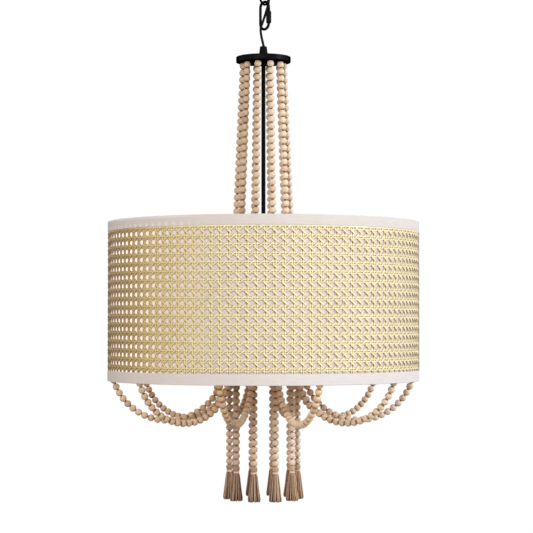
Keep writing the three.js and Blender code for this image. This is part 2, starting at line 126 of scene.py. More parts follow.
CLUMP_TONE_SPREAD = 0.14
STRAY_SHORTER = 0.012
STRAY_SINK = 0.16
# Painted shade on the strays between clumps and on the inner layers of yarn
STRAY_SHADE = 0.62
INNER_LAYER_SHADE = 0.25

# Shade
FIT = 0.3 * MM
SHADE_RADIUS = 311.2 * MM
SHADE_STEPS = 240
TRIM_THICKNESS = 2.4 * MM
TRIM_INNER = SHADE_RADIUS - TRIM_THICKNESS
LINER_THICKNESS = 1.6 * MM
LINER_OUTER = TRIM_INNER - FIT
LINER_INNER = LINER_OUTER - LINER_THICKNESS
LINER_SET_BACK = 0.4 * MM
TOP_TRIM = 20 * MM
BOTTOM_TRIM = 21 * MM
TRIM_LIP = 1.2 * MM
TRIM_FOLD = 0.2 * MM
TRIM_FOLD_WIDTH = 4.2 * MM
TRIM_GAP = 0.1 * MM
LINER_THROUGH = 0.42
WEAVE_SHARE = 0.10
CLOTH_SLACK = ((0.12 * MM, 7, 40), (0.08 * MM, 23, -90))
SEAM_ANGLE = math.radians(84)
SEAM_WIDTH = 36 * MM
SEAM_THICKNESS = 1.2 * MM
SEAM_EDGE = (0.0, 0.55, 0.8, 0.72, 0.62)
SEAM_MIDDLE = 0.6
SEAM_COLUMNS = 24
SEAM_ROWS = 40
SEAM_RIPPLE = 0.06 * MM

# Cane webbing. A section's corners are (across, up, darkness), the first two in millimetres. Darkness is
# painted shade, with darker cut edges.
CANE_COLUMNS = 114
CANE_COLUMN = TAU / CANE_COLUMNS
CANE_PHASE = math.radians(-0.75)
CANE_ROW_TOP = -561.8 * MM
CANE_ROW_PITCH = 16.39 * MM
CANE_MIDDLE = 309.3 * MM
CANE_OVERLAP = 0.6 * MM
PAIR_OFFSET = 2.1 * MM
LEFT_SECTION = ((-1.8, -0.9, 1.0), (-1.1, 0.4, 0.0), (1.5, 0.4, 0.0), (1.6, -0.6, 0.4))
RIGHT_SECTION = ((-1.6, -0.6, 0.06), (-1.5, 0.4, 0.0), (1.2, 0.4, 0.0), (1.8, -0.6, 1.0))
UPPER_SECTION = ((-1.5, -0.5, 0.4), (-1.3, 0.4, 0.0), (0.9, 0.4, 0.0), (1.9, -0.6, 1.0))
LOWER_SECTION = ((-1.9, -0.6, 1.0), (-0.9, 0.4, 0.0), (1.3, 0.4, 0.0), (1.5, -0.5, 0.4))
FALLING_SECTION = ((-2.9, -0.5, 0.15), (-2.7, 0.4, 0.0), (-0.7, 0.4, 0.0), (1.1, -1.0, 1.0))
RISING_SECTION = ((-1.7, -0.5, 0.3), (-1.1, 0.4, 0.0), (1.1, 0.4, 0.0), (1.7, -0.5, 0.12))
WEAVE_RISE = 0.36 * MM
PAIR_SHARE = PAIR_OFFSET / CANE_ROW_PITCH
WEAVE_STEPS = np.array([0.0, 0.19, 0.5 - PAIR_SHARE, 0.5, 0.5 + PAIR_SHARE, 0.81])
WEAVE_WAVE = np.array([0.0, 0.5, 1.0, 0.0, -1.0, -0.5])
WEAVE_SHADOW = np.array([1.0, 0.1, 0.05, 0.4, 0.1, 0.1])
CUT_SHADOW = 0.3
COVERED_SHADOW = 0.75
CANE_TONE = (0.86, 0.13)
DARKEST_STRAND = 0.45
STRAND_WANDER = 0.12 * MM
DIAGONAL_MIDDLE = 0.26 * MM
DIAGONAL_RISE = 0.86 * MM
EDGE_REED = 2.2 * MM

# Painted light at the left of the top trim: pale ovals over the covered holes and a painted highlight on the
# turned edge
GHOST_SHARES = (0.25, 0.28)
GHOST_EDGE = (1.5, 0.4)
GHOST_LIGHT_TINT = (1.13, 1.16, 1.28, 1.0)
FOLD_START = 5.5 * MM
FOLD_END = 3.5 * MM

# Hanger
STRAP_LENGTH = 104 * MM
STRAP_WIDTH = 20 * MM
STRAP_THICKNESS = 2.5 * MM
STRAP_CORNER = 3 * MM
NIPPLE_RADIUS = 5 * MM
NIPPLE_PITCH = MM
CANOPY_RADIUS = 60 * MM
CANOPY_WALL = 1.6 * MM
CANOPY_CHAMFER = 10 * MM
CANOPY_TOP = -0.2 * MM
CANOPY_BOTTOM = -25 * MM
BOSS_PLACE = (20 * MM, 1.4 * MM)
BOSS_RADIUS = 6 * MM
BOSS_HOLE = 2.8 * MM
HANGER_YAW = math.radians(-42)
COLLAR_RADIUS = 12 * MM
COLLAR_HEIGHT = 7.9 * MM
LOOP_RADIUS = 11 * MM
LOOP_WIRE = 3 * MM
LINK_WIDTH = 28 * MM
LINK_LENGTH = 48 * MM
LINK_WIRE = 2.3 * MM
LINK_LEAN = math.radians(3)
LINK_PLAY = 0.6 * MM
QUICK_WIDTH = 28 * MM
QUICK_LENGTH = 61 * MM
QUICK_WIRE = 2.8 * MM
QUICK_PITCH = 0.8 * MM
THREAD_RUN = 5.5 * MM
SLEEVE_RADIUS = 5.2 * MM
SLEEVE_CHAMFER = 1.4 * MM
CORD_RADIUS = 2.5 * MM
CORD_ROUTE = [
    (0, 0, -173.5), (0, 0, -171.5), (-1, 0, -167), (-2.7, -0.3, -160), (-4.2, -0.6, -152.7),
    (-5.2, -0.9, -146), (-5.5, -1.1, -140.5), (-5.1, -1.1, -135), (-2.6, -0.7, -128), (0.3, -0.1, -119.5),
    (3.4, 0.4, -110), (7.4, 0.5, -97), (9.4, 0.5, -90), (10.7, 0.7, -82), (12.6, 0.9, -70),
    (15.4, 1.1, -58), (18.2, 1.3, -46), (19.7, 1.4, -37), (20, 1.4, -33.5), (20, 1.4, -30.6),
]

# Centre line and frames
GRIP_TOP_RADIUS = 7 * MM
GRIP_BOTTOM_RADIUS = 9.5 * MM
PLATE_RADIUS = 55 * MM
ROD_RADIUS = 4.2 * MM
ROD_BORE = 2.5 * MM
HUB_RADIUS = 14 * MM
SPOKES = 5
FIRST_SPOKE = FIRST_STRAND + TAU / STRAND_COUNT / 2
SPOKE_WIDTH = 8 * MM
SPOKE_EDGE = 0.4 * MM
SPIDER_THICKNESS = 2.5 * MM
BEAD_RING_INNER = 58 * MM
BEAD_RING_OUTER = 92 * MM
SHADE_RING_WIDTH = 10 * MM

# Lights. A bulb's corners are (width, height) in shares of its glass.
LIGHTS = 5
LIGHT_HUB_RADIUS = 16 * MM
LIGHT_HUB_HEIGHT = 18 * MM
HUB_DROP = 15 * MM
ARM_REACH = 172 * MM
ARM_RADIUS = 4 * MM
ARM_DIP = 16 * MM
PAN_RADIUS = 17 * MM
SOCKET_RADIUS = 12 * MM
SOCKET_BORE = 7.3 * MM
BULB_RADIUS = 17.5 * MM
BULB_SHARES = [
    (0.42, -0.02), (0.45, 0.03), (0.75, 0.15), (0.97, 0.3), (1.0, 0.38), (0.93, 0.52), (0.7, 0.68),
    (0.42, 0.83), (0.22, 0.93), (0.10, 0.98), (0.0, 1.0),
]
CAP_RADIUS = 6.9 * MM
CAP_ROOT = 6.1 * MM
CAP_PITCH = 2.6 * MM

# Light
AMBIENT_SIDE = (0.20, -0.45, 0.87)
LAMP_TARGET = (0, 0, -0.7)
# Reach of the painted warm shade on the beads below and above the shade's lower edge
WARM_SHADE_BELOW = 120 * MM
WARM_SHADE_ABOVE = 100 * MM

# Colours, as (position, red, green, blue) stops. Names with ACROSS run from the shade's left to its right.
BEAD_WOOD = [
    (0.3, 0.70, 0.54, 0.395), (0.47, 0.84, 0.69, 0.54), (0.62, 0.90, 0.77, 0.625), (0.8, 0.94, 0.83, 0.70),
]
BEAD_TONES = [(0.0, 0.22, 0.14, 0.085), (0.18, 0.56, 0.43, 0.32), (0.4, 0.98, 0.95, 0.91), (0.65, 1, 1, 1)]
# Painted light and shade on the beads: darker at the left and in the middle strings, lighter at the right
BEAD_LIGHT_ACROSS = [
    (0.0, 0.94, 0.88, 0.80), (0.36, 0.85, 0.795, 0.725), (0.4, 0.72, 0.665, 0.6), (0.425, 0.74, 0.685, 0.62),
    (0.455, 0.84, 0.785, 0.72), (0.485, 0.84, 0.785, 0.72), (0.515, 0.94, 0.93, 0.91),
    (0.55, 0.95, 0.94, 0.925), (0.575, 1.04, 1.045, 1.05), (0.61, 1.03, 1.03, 1.03), (0.75, 1.06, 1.05, 1.04),
]
# Painted warm shade on the beads near the shade's lower edge, only towards the middle
BEAD_WARM_SHADE = [
    (0.0, 1, 1, 1), (0.14, 1.0, 0.985, 0.96), (0.27, 1.0, 0.94, 0.85), (0.41, 1.04, 0.92, 0.78),
    (0.55, 1.06, 0.92, 0.77), (1.0, 1, 1, 1),
]
WARM_SHADE_ACROSS = [(0.12, 0, 0, 0), (0.2, 1, 1, 1), (0.8, 1, 1, 1), (0.88, 0, 0, 0)]
STRING_FIBRE = [(0.35, 0.30, 0.20, 0.12), (0.7, 0.52, 0.38, 0.25)]
YARN_TONES = [
    (0.0, 0.07, 0.036, 0.018), (0.35, 0.33, 0.205, 0.13), (0.7, 0.64, 0.44, 0.30), (1.0, 0.92, 0.68, 0.50),
]
YARN_FIBRE = [(0.3, 0.72, 0.70, 0.68), (0.7, 1, 1, 1)]
# Painted shade on the tassels at the left, lighter towards the right
YARN_LIGHT_ACROSS = [(0.40, 0.67, 0.65, 0.63), (0.47, 0.72, 0.71, 0.70), (0.54, 0.86, 0.85, 0.84), (0.60, 1, 1, 1)]
BAND_FIBRE = [(0.3, 0.78, 0.57, 0.42), (0.7, 0.95, 0.76, 0.60)]
CANE_BARK = [
    (0.25, 0.86, 0.71, 0.40), (0.42, 0.96, 0.87, 0.57), (0.6, 0.98, 0.92, 0.66), (0.8, 0.99, 0.95, 0.74),
]
CANE_TONES = [
    (0.0, 0.30, 0.22, 0.11), (0.25, 0.52, 0.43, 0.27), (0.5, 0.92, 0.87, 0.76), (0.75, 1.0, 0.99, 0.97),
]
CANE_EDGE_SHADE = [(0.02, 1, 1, 1), (0.13, 0.46, 0.36, 0.20), (0.4, 0.12, 0.08, 0.03)]
# Painted shade that makes the cane at the left deeper and more ochre
CANE_LEFT_SHADE = [
    (0.0, 0.31, 0.215, 0.075), (0.14, 0.52, 0.41, 0.205), (0.3, 0.84, 0.77, 0.54), (0.5, 0.98, 0.95, 0.85),
    (0.7, 1, 1, 1),
]
CANE_LEFT_SHADE_SPAN = (-310 * MM, 50 * MM)
# Painted light tint on the trims, by level and from left to right
TRIM_LIGHT_LEVELS = [(0.0, 1.02, 1.02, 1.06), (1.0, 1, 1, 1)]
TRIM_LIGHT_ACROSS = [
    (0.03, 1.0, 0.98, 0.97), (0.163, 0.93, 0.925, 0.91), (0.326, 0.97, 0.965, 0.98),
    (0.5, 0.965, 0.985, 0.995), (0.684, 0.94, 0.975, 1.01), (0.85, 0.945, 0.975, 1.005),
    (0.96, 1.015, 1.05, 1.08),
]
# Painted light over the top trim, kept to the left
GHOST_LIGHT_ACROSS = [(0.2, 1, 1, 1), (0.34, 0, 0, 0)]
# Painted glow of the liner, strongest at the left
LINER_PAINTED_GLOW_ACROSS = [
    (0.0, 0.80, 0.70, 0.60), (0.08, 0.62, 0.55, 0.49), (0.2, 0.14, 0.13, 0.13), (0.36, 0.02, 0.02, 0.03),
    (0.5, 0.06, 0.06, 0.09), (0.72, 0.09, 0.08, 0.09),
]
BULB_FROST = [(0.3, 0.86, 0.83, 0.77), (0.7, 0.93, 0.91, 0.87)]
AMBIENT = [
    (0.0, 0.10, 0.050, 0.015), (0.1, 0.12, 0.065, 0.025), (0.3, 0.18, 0.14, 0.095), (0.45, 0.33, 0.305, 0.27),
    (1.0, 0.61, 0.598, 0.58),
]


# Vectors and meshes

def spoke_direction(angle):
    """Outward direction at an angle from the front towards the right."""
    return np.array([math.sin(angle), -math.cos(angle), 0.0])


def strand_angle(index):
    return FIRST_STRAND + TAU * index / STRAND_COUNT


def levels(node):
    """Lowest and highest level of a node of the frame."""
    low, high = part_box(node)
    return low.z, high.z


def loft(rings, loop=False, capped=True):
    """Points and faces of a skin over rings of equal point counts."""
    rings = np.asarray(rings, float)
    count, sides = rings.shape[:2]
    spans = count if loop else count - 1
    here = np.arange(spans)[:, None] * sides
    there = (np.arange(spans)[:, None] + 1) % count * sides
    side = np.arange(sides)[None, :]
    turn = (side + 1) % sides
    faces = np.stack([here + side, here + turn, there + turn, there + side], axis=-1).reshape(-1, 4).tolist()
    if capped and not loop:
        faces.append(list(range(sides - 1, -1, -1)))
        faces.append([(count - 1) * sides + i for i in range(sides)])
    return rings.reshape(-1, 3), faces


def merged(parts):
    """Several (points, faces) as one."""
    points = []
    faces = []
    total = 0
    for part_points, part_faces in parts:
        points.append(part_points)
        faces.extend([[corner + total for corner in face] for face in part_faces])
        total += len(part_points)
    return np.concatenate(points), faces


def piece(name, skin, finish, body, nodes=(), sharp=None):
    """A mesh object of (points, faces) that rides on a body and stands for the named nodes."""
    points, faces = skin
    mesh = bpy.data.meshes.new(name)
    mesh.from_pydata(np.asarray(points).tolist(), [], faces)
    mesh.materials.append(finish)
    mesh.shade_smooth()
    if sharp is not None:
        mesh.set_sharp_from_angle(angle=math.radians(sharp))
    made = bpy.data.objects.new(name, mesh)
    bpy.context.scene.collection.objects.link(made)
    if body is not None:
        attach(made, body)
    if nodes:
        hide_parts(*nodes)
    return made


def write_tone(made, values):
    """One number a point, which the material reads as its tone, with any painted shade that the caller works
    into it.
    """
    attribute = made.data.attributes.new("tone", "FLOAT", "POINT")
    attribute.data.foreach_set("value", np.asarray(values, np.float32))


def write_grain(made, vectors):
    """One vector a point, which the material reads as its pattern's place."""
    attribute = made.data.attributes.new("grain", "FLOAT_VECTOR", "POINT")
    attribute.data.foreach_set("vector", np.asarray(vectors, np.float32).ravel())


def wall(inner, outer, low, high):
    """Closed outline of a tube, ring or disc with a hole, between two radii and two levels."""
    return [(inner, low), (outer, low), (outer, high), (inner, high)]


def softened(outline, radius, steps=3, closed=False):
    """Outline with each corner turned into a short curve."""
    points = [np.array(point, float) for point in outline]
    made = []
    last = len(points) - 1
    for i, point in enumerate(points):
        if not closed and i in (0, last):
            made.append(point)
            continue
        before = points[i - 1] - point
        after = points[(i + 1) % len(points)] - point
        start = point + before * min(0.45, radius / max(np.linalg.norm(before), 1e-9))
        end = point + after * min(0.45, radius / max(np.linalg.norm(after), 1e-9))
        for step in range(steps + 1):
            t = step / steps
            made.append((1 - t) ** 2 * start + 2 * t * (1 - t) * point + t * t * end)
    return made


def turned(outline, steps=48, centre=(0, 0), loop=False):
    """Points and faces of an outline of (radius, level) turned about an upright axis.
    An open outline starts and ends on the axis, and a loop closes on itself."""
    outline = np.asarray(outline, float)
    turn = TAU * np.arange(steps) / steps
    rings = np.stack([
        centre[0] + outline[:, :1] * np.cos(turn),
        centre[1] + outline[:, :1] * np.sin(turn),
        np.repeat(outline[:, 1:], steps, axis=1),
    ], axis=-1)
    return loft(rings, loop=loop, capped=not loop)


def lathe(outline, softness, curve, steps, centre=(0, 0), loop=False):
    """Outline turned about an upright axis after its corners are softened."""
    return turned(softened(outline, softness, curve, loop), steps, centre, loop)


def tube(path, radius, sides=8, loop=False):
    """Points and faces of a round tube along a path, with one radius or one for each point."""
    path = np.asarray(path, float)
    ahead = np.roll(path, -1, axis=0) - np.roll(path, 1, axis=0)
    if not loop:
        ahead[0] = path[1] - path[0]
        ahead[-1] = path[-1] - path[-2]
    ahead /= np.linalg.norm(ahead, axis=1)[:, None]
    aside = np.cross(ahead[0], [0.31, 0.95, 0.05])
    radii = np.broadcast_to(radius, len(path))
    turn = TAU * np.arange(sides) / sides
    rings = []
    for place, direction, size in zip(path, ahead, radii):
        aside = aside - direction * (aside @ direction)
        aside /= np.linalg.norm(aside)
        up = np.cross(direction, aside)
        rings.append(place + size * (np.outer(np.cos(turn), aside) + np.outer(np.sin(turn), up)))
    return loft(rings, loop=loop)


def between(first, second, start, end, now):
    return first + (second - first) * (now - start) / (end - start)


def smooth_route(points, steps):
    """Centripetal curve through the points, with some steps between each pair."""
    points = [np.array(point, float) for point in points]
    ends = [2 * points[0] - points[1], *points, 2 * points[-1] - points[-2]]
    made = []
    for a, b, c, d in zip(ends, ends[1:], ends[2:], ends[3:]):
        second = math.sqrt(np.linalg.norm(b - a))
        third = second + math.sqrt(np.linalg.norm(c - b))
        fourth = third + math.sqrt(np.linalg.norm(d - c))
        for now in np.linspace(second, third, steps, endpoint=False):
            middle = between(b, c, second, third, now)
            before = between(between(a, b, 0, second, now), middle, 0, third, now)
            after = between(middle, between(c, d, third, fourth, now), second, fourth, now)
            made.append(between(before, after, second, third, now))
    made.append(points[-1])
    return np.array(made)


# Materials

def feed(node, inputs):
    """Sets inputs of a node to a value or joins them to a socket."""
    for key, value in inputs.items():
        if isinstance(value, bpy.types.NodeSocket):
            node.id_data.links.new(value, node.inputs[key])
        else:
            node.inputs[key].default_value = value


def add(tree, kind, inputs=None, **settings):
    node = tree.nodes.new(kind)
    for key, value in settings.items():
        setattr(node, key, value)
    feed(node, inputs or {})
    return node


def new_finish(name, roughness, metallic=0.0, specular=0.5):
    made = bpy.data.materials.new(name)
    made.use_nodes = True
    shader = made.node_tree.nodes["Principled BSDF"]
    feed(shader, {"Roughness": roughness, "Metallic": metallic, "Specular IOR Level": specular})
    return made, made.node_tree, shader


def attribute(tree, name, output="Fac"):
    return add(tree, "ShaderNodeAttribute", attribute_name=name).outputs[output]


def object_place(tree):
    return add(tree, "ShaderNodeTexCoord").outputs["Object"]


def separate(tree, vector):
    return add(tree, "ShaderNodeSeparateXYZ", {"Vector": vector}).outputs


def worked_out(tree, operation, *values):
    return add(tree, "ShaderNodeMath", dict(enumerate(values)), operation=operation).outputs[0]


def spread(tree, value, start, end, low=0.0, high=1.0):
    """Low where the value is at its start, high where it is at its end, and even in between."""
    return add(tree, "ShaderNodeMapRange", {
        "Value": value, "From Min": start, "From Max": end, "To Min": low, "To Max": high,
    }).outputs["Result"]


def noise(tree, place, scale, stretch=(1, 1, 1), detail=3):
    place = add(tree, "ShaderNodeMapping", {"Vector": place, "Scale": stretch}).outputs["Vector"]
    return add(tree, "ShaderNodeTexNoise", {"Vector": place, "Scale": scale, "Detail": detail}).outputs["Fac"]


def ramp(tree, factor, stops):
    made = add(tree, "ShaderNodeValToRGB", {"Fac": factor})
    elements = made.color_ramp.elements
    while len(elements) < len(stops):
        elements.new(0.5)
    for element, (position, *colour) in zip(elements, stops):
        element.position = position
        element.color = (*colour, 1)
    return made.outputs["Color"]


def along(tree, axis, start, end, stops):
    """Colours along one of the object's own axes, between two places on it."""
    return ramp(tree, spread(tree, separate(tree, object_place(tree))[axis], start, end), stops)


def across(tree, stops):
    """Colours from the left edge of the shade to the right one."""
    return along(tree, "X", -SHADE_RADIUS, SHADE_RADIUS, stops)


def mixed(tree, factor, first, second, blend="MIX"):
    inputs = {0: factor, 6: first, 7: second}
    return add(tree, "ShaderNodeMix", inputs, data_type="RGBA", blend_type=blend).outputs[2]


def multiplied(tree, first, second):
    return mixed(tree, 1.0, first, second, "MULTIPLY")


def relief(tree, height, strength, distance):
    inputs = {"Height": height, "Strength": strength, "Distance": distance}
    return add(tree, "ShaderNodeBump", inputs).outputs["Normal"]


def bead_finish():
    """Pale wood, with painted shade towards the holes where the beads meet, painted warm shade near the
    shade's lower edge, and painted light and shade from left to right.
    """
    made, tree, shader = new_finish("wood_bead_finish", 0.58)
    grain = attribute(tree, "grain", "Vector")
    wood = ramp(tree, noise(tree, grain, 2.6, (1.6, 1.6, 0.28), 4), BEAD_WOOD)
    toned = multiplied(tree, wood, ramp(tree, attribute(tree, "tone"), BEAD_TONES))
    # Painted light and shade from left to right
    lit_from_side = multiplied(tree, toned, across(tree, BEAD_LIGHT_ACROSS))
    edge = levels("bottom_trim")[0]
    # Painted warm shade near the shade's lower edge
    warm_shade = along(tree, "Z", edge - WARM_SHADE_BELOW, edge + WARM_SHADE_ABOVE, BEAD_WARM_SHADE)
    warm_shaded = mixed(tree, across(tree, WARM_SHADE_ACROSS), lit_from_side, warm_shade, "MULTIPLY")
    pores = noise(tree, grain, 14, (2.2, 2.2, 0.3), 2)
    feed(shader, {"Base Color": warm_shaded, "Normal": relief(tree, pores, 0.25, 0.2 * MM)})
    return made


def plain_finish(name, roughness, stops, scale, stretch=(1, 1, 1), detail=3, strength=0.0, subsurface=0.0):
    """Colours that follow a noise over the object, and relief from the same noise where it has a strength."""
    made, tree, shader = new_finish(name, roughness)
    fibres = noise(tree, object_place(tree), scale, stretch, detail)
    feed(shader, {"Base Color": ramp(tree, fibres, stops), "Subsurface Weight": subsurface})
    if strength:
        feed(shader, {"Normal": relief(tree, fibres, strength, 0.1 * MM)})
    return made


def yarn_finish():
    made, tree, shader = new_finish("tassel_yarn_finish", 0.9)
    fibres = noise(tree, object_place(tree), 700, (1, 1, 0.12))
    dyed = ramp(tree, attribute(tree, "tone"), YARN_TONES)
    fibred = multiplied(tree, dyed, ramp(tree, fibres, YARN_FIBRE))
    # Painted shade on the tassels at the left
    feed(shader, {
        "Base Color": multiplied(tree, fibred, across(tree, YARN_LIGHT_ACROSS)),
        "Sheen Weight": 0.25, "Sheen Roughness": 0.5, "Normal": relief(tree, fibres, 0.4, 0.2 * MM),
    })
    return made


def cane_finish():
    """Glossy bark on top of each strand, darker cut edges and painted shade at its sides, and painted shade
    that makes the left of the shade deeper ochre.
    """
    made, tree, shader = new_finish("cane_finish", 0.38, specular=0.8)
    grain = attribute(tree, "grain", "Vector")
    streaks = noise(tree, grain, 1.0, (0.10, 2.4, 1.0))
    bark = multiplied(tree, ramp(tree, streaks, CANE_BARK), ramp(tree, attribute(tree, "tone"), CANE_TONES))
    # Painted shade towards the left
    left_shaded = multiplied(tree, bark, along(tree, "X", *CANE_LEFT_SHADE_SPAN, CANE_LEFT_SHADE))
    # Painted shade at each strand's sides, with darker cut edges
    core = ramp(tree, separate(tree, grain)["Y"], CANE_EDGE_SHADE)
    feed(shader, {"Base Color": multiplied(tree, left_shaded, core), "Normal": relief(tree, streaks, 0.3, 0.2 * MM)})
    return made


def painted_light_on_trim(tree, cloth):
    """Painted light at the left of the top trim: paler ovals over the holes that it covers, and a painted
    highlight on its folded top edge.
    """
    place = separate(tree, object_place(tree))
    turn = worked_out(tree, "ARCTAN2", place["X"], worked_out(tree, "MULTIPLY", place["Y"], -1.0))
    columns = CANE_COLUMNS / TAU
    column = worked_out(tree, "MULTIPLY_ADD", turn, columns, 0.5 - CANE_PHASE * columns + CANE_COLUMNS)
    width, height = GHOST_SHARES
    sideways = worked_out(tree, "MULTIPLY_ADD", worked_out(tree, "FRACT", column), 1 / width, -0.5 / width)
    above = worked_out(tree, "SUBTRACT", place["Z"], CANE_ROW_TOP + CANE_ROW_PITCH)
    upwards = worked_out(tree, "MULTIPLY", above, 1 / (height * CANE_ROW_PITCH))
    squares = [worked_out(tree, "POWER", value, 2.0) for value in (sideways, upwards)]
    oval = spread(tree, worked_out(tree, "ADD", *squares), *GHOST_EDGE)
    top = levels("top_trim")[1]
    fold = spread(tree, place["Z"], top - FOLD_START, top - FOLD_END)
    share = worked_out(tree, "MULTIPLY", worked_out(tree, "MAXIMUM", oval, fold), across(tree, GHOST_LIGHT_ACROSS))
    return mixed(tree, share, cloth, multiplied(tree, cloth, GHOST_LIGHT_TINT))


def woven_finish(name, threads, deep, pale):
    """Plain weave whose threads follow the grain vector, in millimetres round and up the cloth."""
    made, tree, shader = new_finish(name, 0.85)
    grain = attribute(tree, "grain", "Vector")
    thread = {"Vector": grain, "Scale": threads, "Distortion": 0.6}
    waves = [add(tree, "ShaderNodeTexWave", thread, bands_direction=axis).outputs["Color"] for axis in "XY"]
    weave = mixed(tree, 0.5, *waves)
    cloth = ramp(tree, noise(tree, grain, 0.35, (0.12, 1, 1), 4), [(0.3, *deep), (0.7, *pale)])
    threaded = mixed(tree, WEAVE_SHARE, cloth, multiplied(tree, cloth, weave))
    feed(shader, {"Sheen Weight": 0.15, "Normal": relief(tree, weave, 0.35, 0.15 * MM)})
    return made, tree, shader, threaded


def trim_finish():
    """Off-white cloth with a painted light tint: warmer at the left, and cooler at the right and at the lower
    edge.
    """
    made, tree, shader, cloth = woven_finish("trim_finish", 0.7, (0.82, 0.77, 0.735), (0.87, 0.825, 0.79))
    light_by_level = along(tree, "Z", levels("bottom_trim")[0], levels("top_trim")[1], TRIM_LIGHT_LEVELS)
    toned = multiplied(tree, cloth, multiplied(tree, light_by_level, across(tree, TRIM_LIGHT_ACROSS)))
    feed(shader, {"Base Color": painted_light_on_trim(tree, toned)})
    return made


def liner_finish():
    """Thin cloth that lets light through, with a painted glow, strongest at the left, that stands for light
    coming through the shade from behind.
    """
    made, tree, shader, cloth = woven_finish("liner_finish", 0.9, (0.95, 0.86, 0.87), (0.98, 0.92, 0.92))
    painted_glow = across(tree, LINER_PAINTED_GLOW_ACROSS)
    feed(shader, {"Base Color": cloth, "Emission Color": painted_glow, "Emission Strength": 1.0})
    through = add(tree, "ShaderNodeBsdfTranslucent", {"Color": cloth}).outputs[0]
    both = add(tree, "ShaderNodeMixShader", {"Fac": LINER_THROUGH, 1: shader.outputs[0], 2: through})
    feed(tree.nodes["Material Output"], {"Surface": both.outputs[0]})
    return made


def painted_finish(name, colour, roughness, grit, depth, metallic=0.0, specular=0.5, edge_gloss=None):
    """Coated metal or moulded plastic: a base colour broken up a little, with a fine skin.
    With an edge gloss, the gloss falls to it where the surface turns from the eye."""
    made, tree, shader = new_finish(name, roughness, metallic, specular)
    place = object_place(tree)
    mottle = noise(tree, place, grit / 6, detail=4)
    dim = [value * 0.82 for value in colour]
    feed(shader, {
        "Base Color": ramp(tree, mottle, [(0.35, *dim), (0.65, *colour)]),
        "Roughness": spread(tree, mottle, 0.3, 0.7, roughness * 0.85, roughness * 1.15),
        "Normal": relief(tree, noise(tree, place, grit, detail=2), 0.12, depth),
    })
    if edge_gloss is not None:
        facing = add(tree, "ShaderNodeLayerWeight", {"Blend": 0.5}).outputs["Facing"]
        feed(shader, {"Specular IOR Level": spread(tree, facing, 0.15, 0.6, specular, edge_gloss)})
    return made


BEAD = bead_finish()
STRING = plain_finish("bead_string_finish", 0.85, STRING_FIBRE, 900, (1, 1, 0.4))
YARN = yarn_finish()
BAND = plain_finish("tassel_band_finish", 0.8, BAND_FIBRE, 1200, (1, 1, 0.5), 2, strength=0.3)
CANE = cane_finish()
TRIM = trim_finish()
LINER = liner_finish()
STEEL = painted_finish(
    "black_steel_finish", (0.0036, 0.0033, 0.0031), 0.42, 900, 0.1 * MM, specular=0.055, edge_gloss=0.0
)
CORD = painted_finish(
    "black_cord_finish", (0.0040, 0.0037, 0.0037), 0.5, 1500, 0.12 * MM, specular=0.1, edge_gloss=0.0
)
SLEEVE = painted_finish("socket_sleeve_finish", (0.84, 0.79, 0.69), 0.5, 200, 0.2 * MM)
BRASS = painted_finish("bulb_cap_finish", (0.74, 0.56, 0.28), 0.32, 500, 0.05 * MM, metallic=1.0)
BULB = plain_finish("bulb_finish", 0.35, BULB_FROST, 300, subsurface=0.2)


# Cord first, since its room in the camera's view is measured

def hanging_cord():
    route = smooth_route([[value * MM for value in point] for point in CORD_ROUTE], 6)
    made = piece("hanging_cord", tube(route, CORD_RADIUS, 16), CORD, None, ["cord"], sharp=40)
    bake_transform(made)


# Beads

def bead(centre, direction, half_length):
    """One drilled bead: its points, faces and grain vectors."""
    direction = np.asarray(direction, float) / np.linalg.norm(direction)
    aside = np.cross(direction, [0.2, 0.3, 0.9] if abs(direction[2]) < 0.9 else [1.0, 0.1, 0.0])
    aside /= np.linalg.norm(aside)
    up = np.cross(direction, aside)
    start = math.asin(BEAD_HOLE_RADIUS / BEAD_RADIUS)
    profile = [(BEAD_HOLE_FLOOR, half_length - BEAD_HOLE_DEPTH)]
    for angle in np.linspace(start, math.pi - start, BEAD_RINGS):
        profile.append((BEAD_RADIUS * math.sin(angle), half_length * math.cos(angle) / math.cos(start)))
    profile.append((BEAD_HOLE_FLOOR, BEAD_HOLE_DEPTH - half_length))
    turn = TAU * (np.arange(BEAD_SIDES) + draw.random()) / BEAD_SIDES
    circle = np.outer(np.cos(turn), aside) + np.outer(np.sin(turn), up)
    points, faces = loft([centre + radius * circle + level * direction for radius, level in profile])
    axis = np.array([draw.gauss(0, 1) for _ in range(3)])
    axis /= np.linalg.norm(axis)
    side = np.cross(axis, [0.3, 0.5, 0.8])
    side /= np.linalg.norm(side)
    offset = np.array([draw.uniform(0, 40) for _ in range(3)])
    grain = (points - centre) / BEAD_RADIUS @ np.stack([side, np.cross(axis, side), axis]).T + offset
    return points, faces, grain


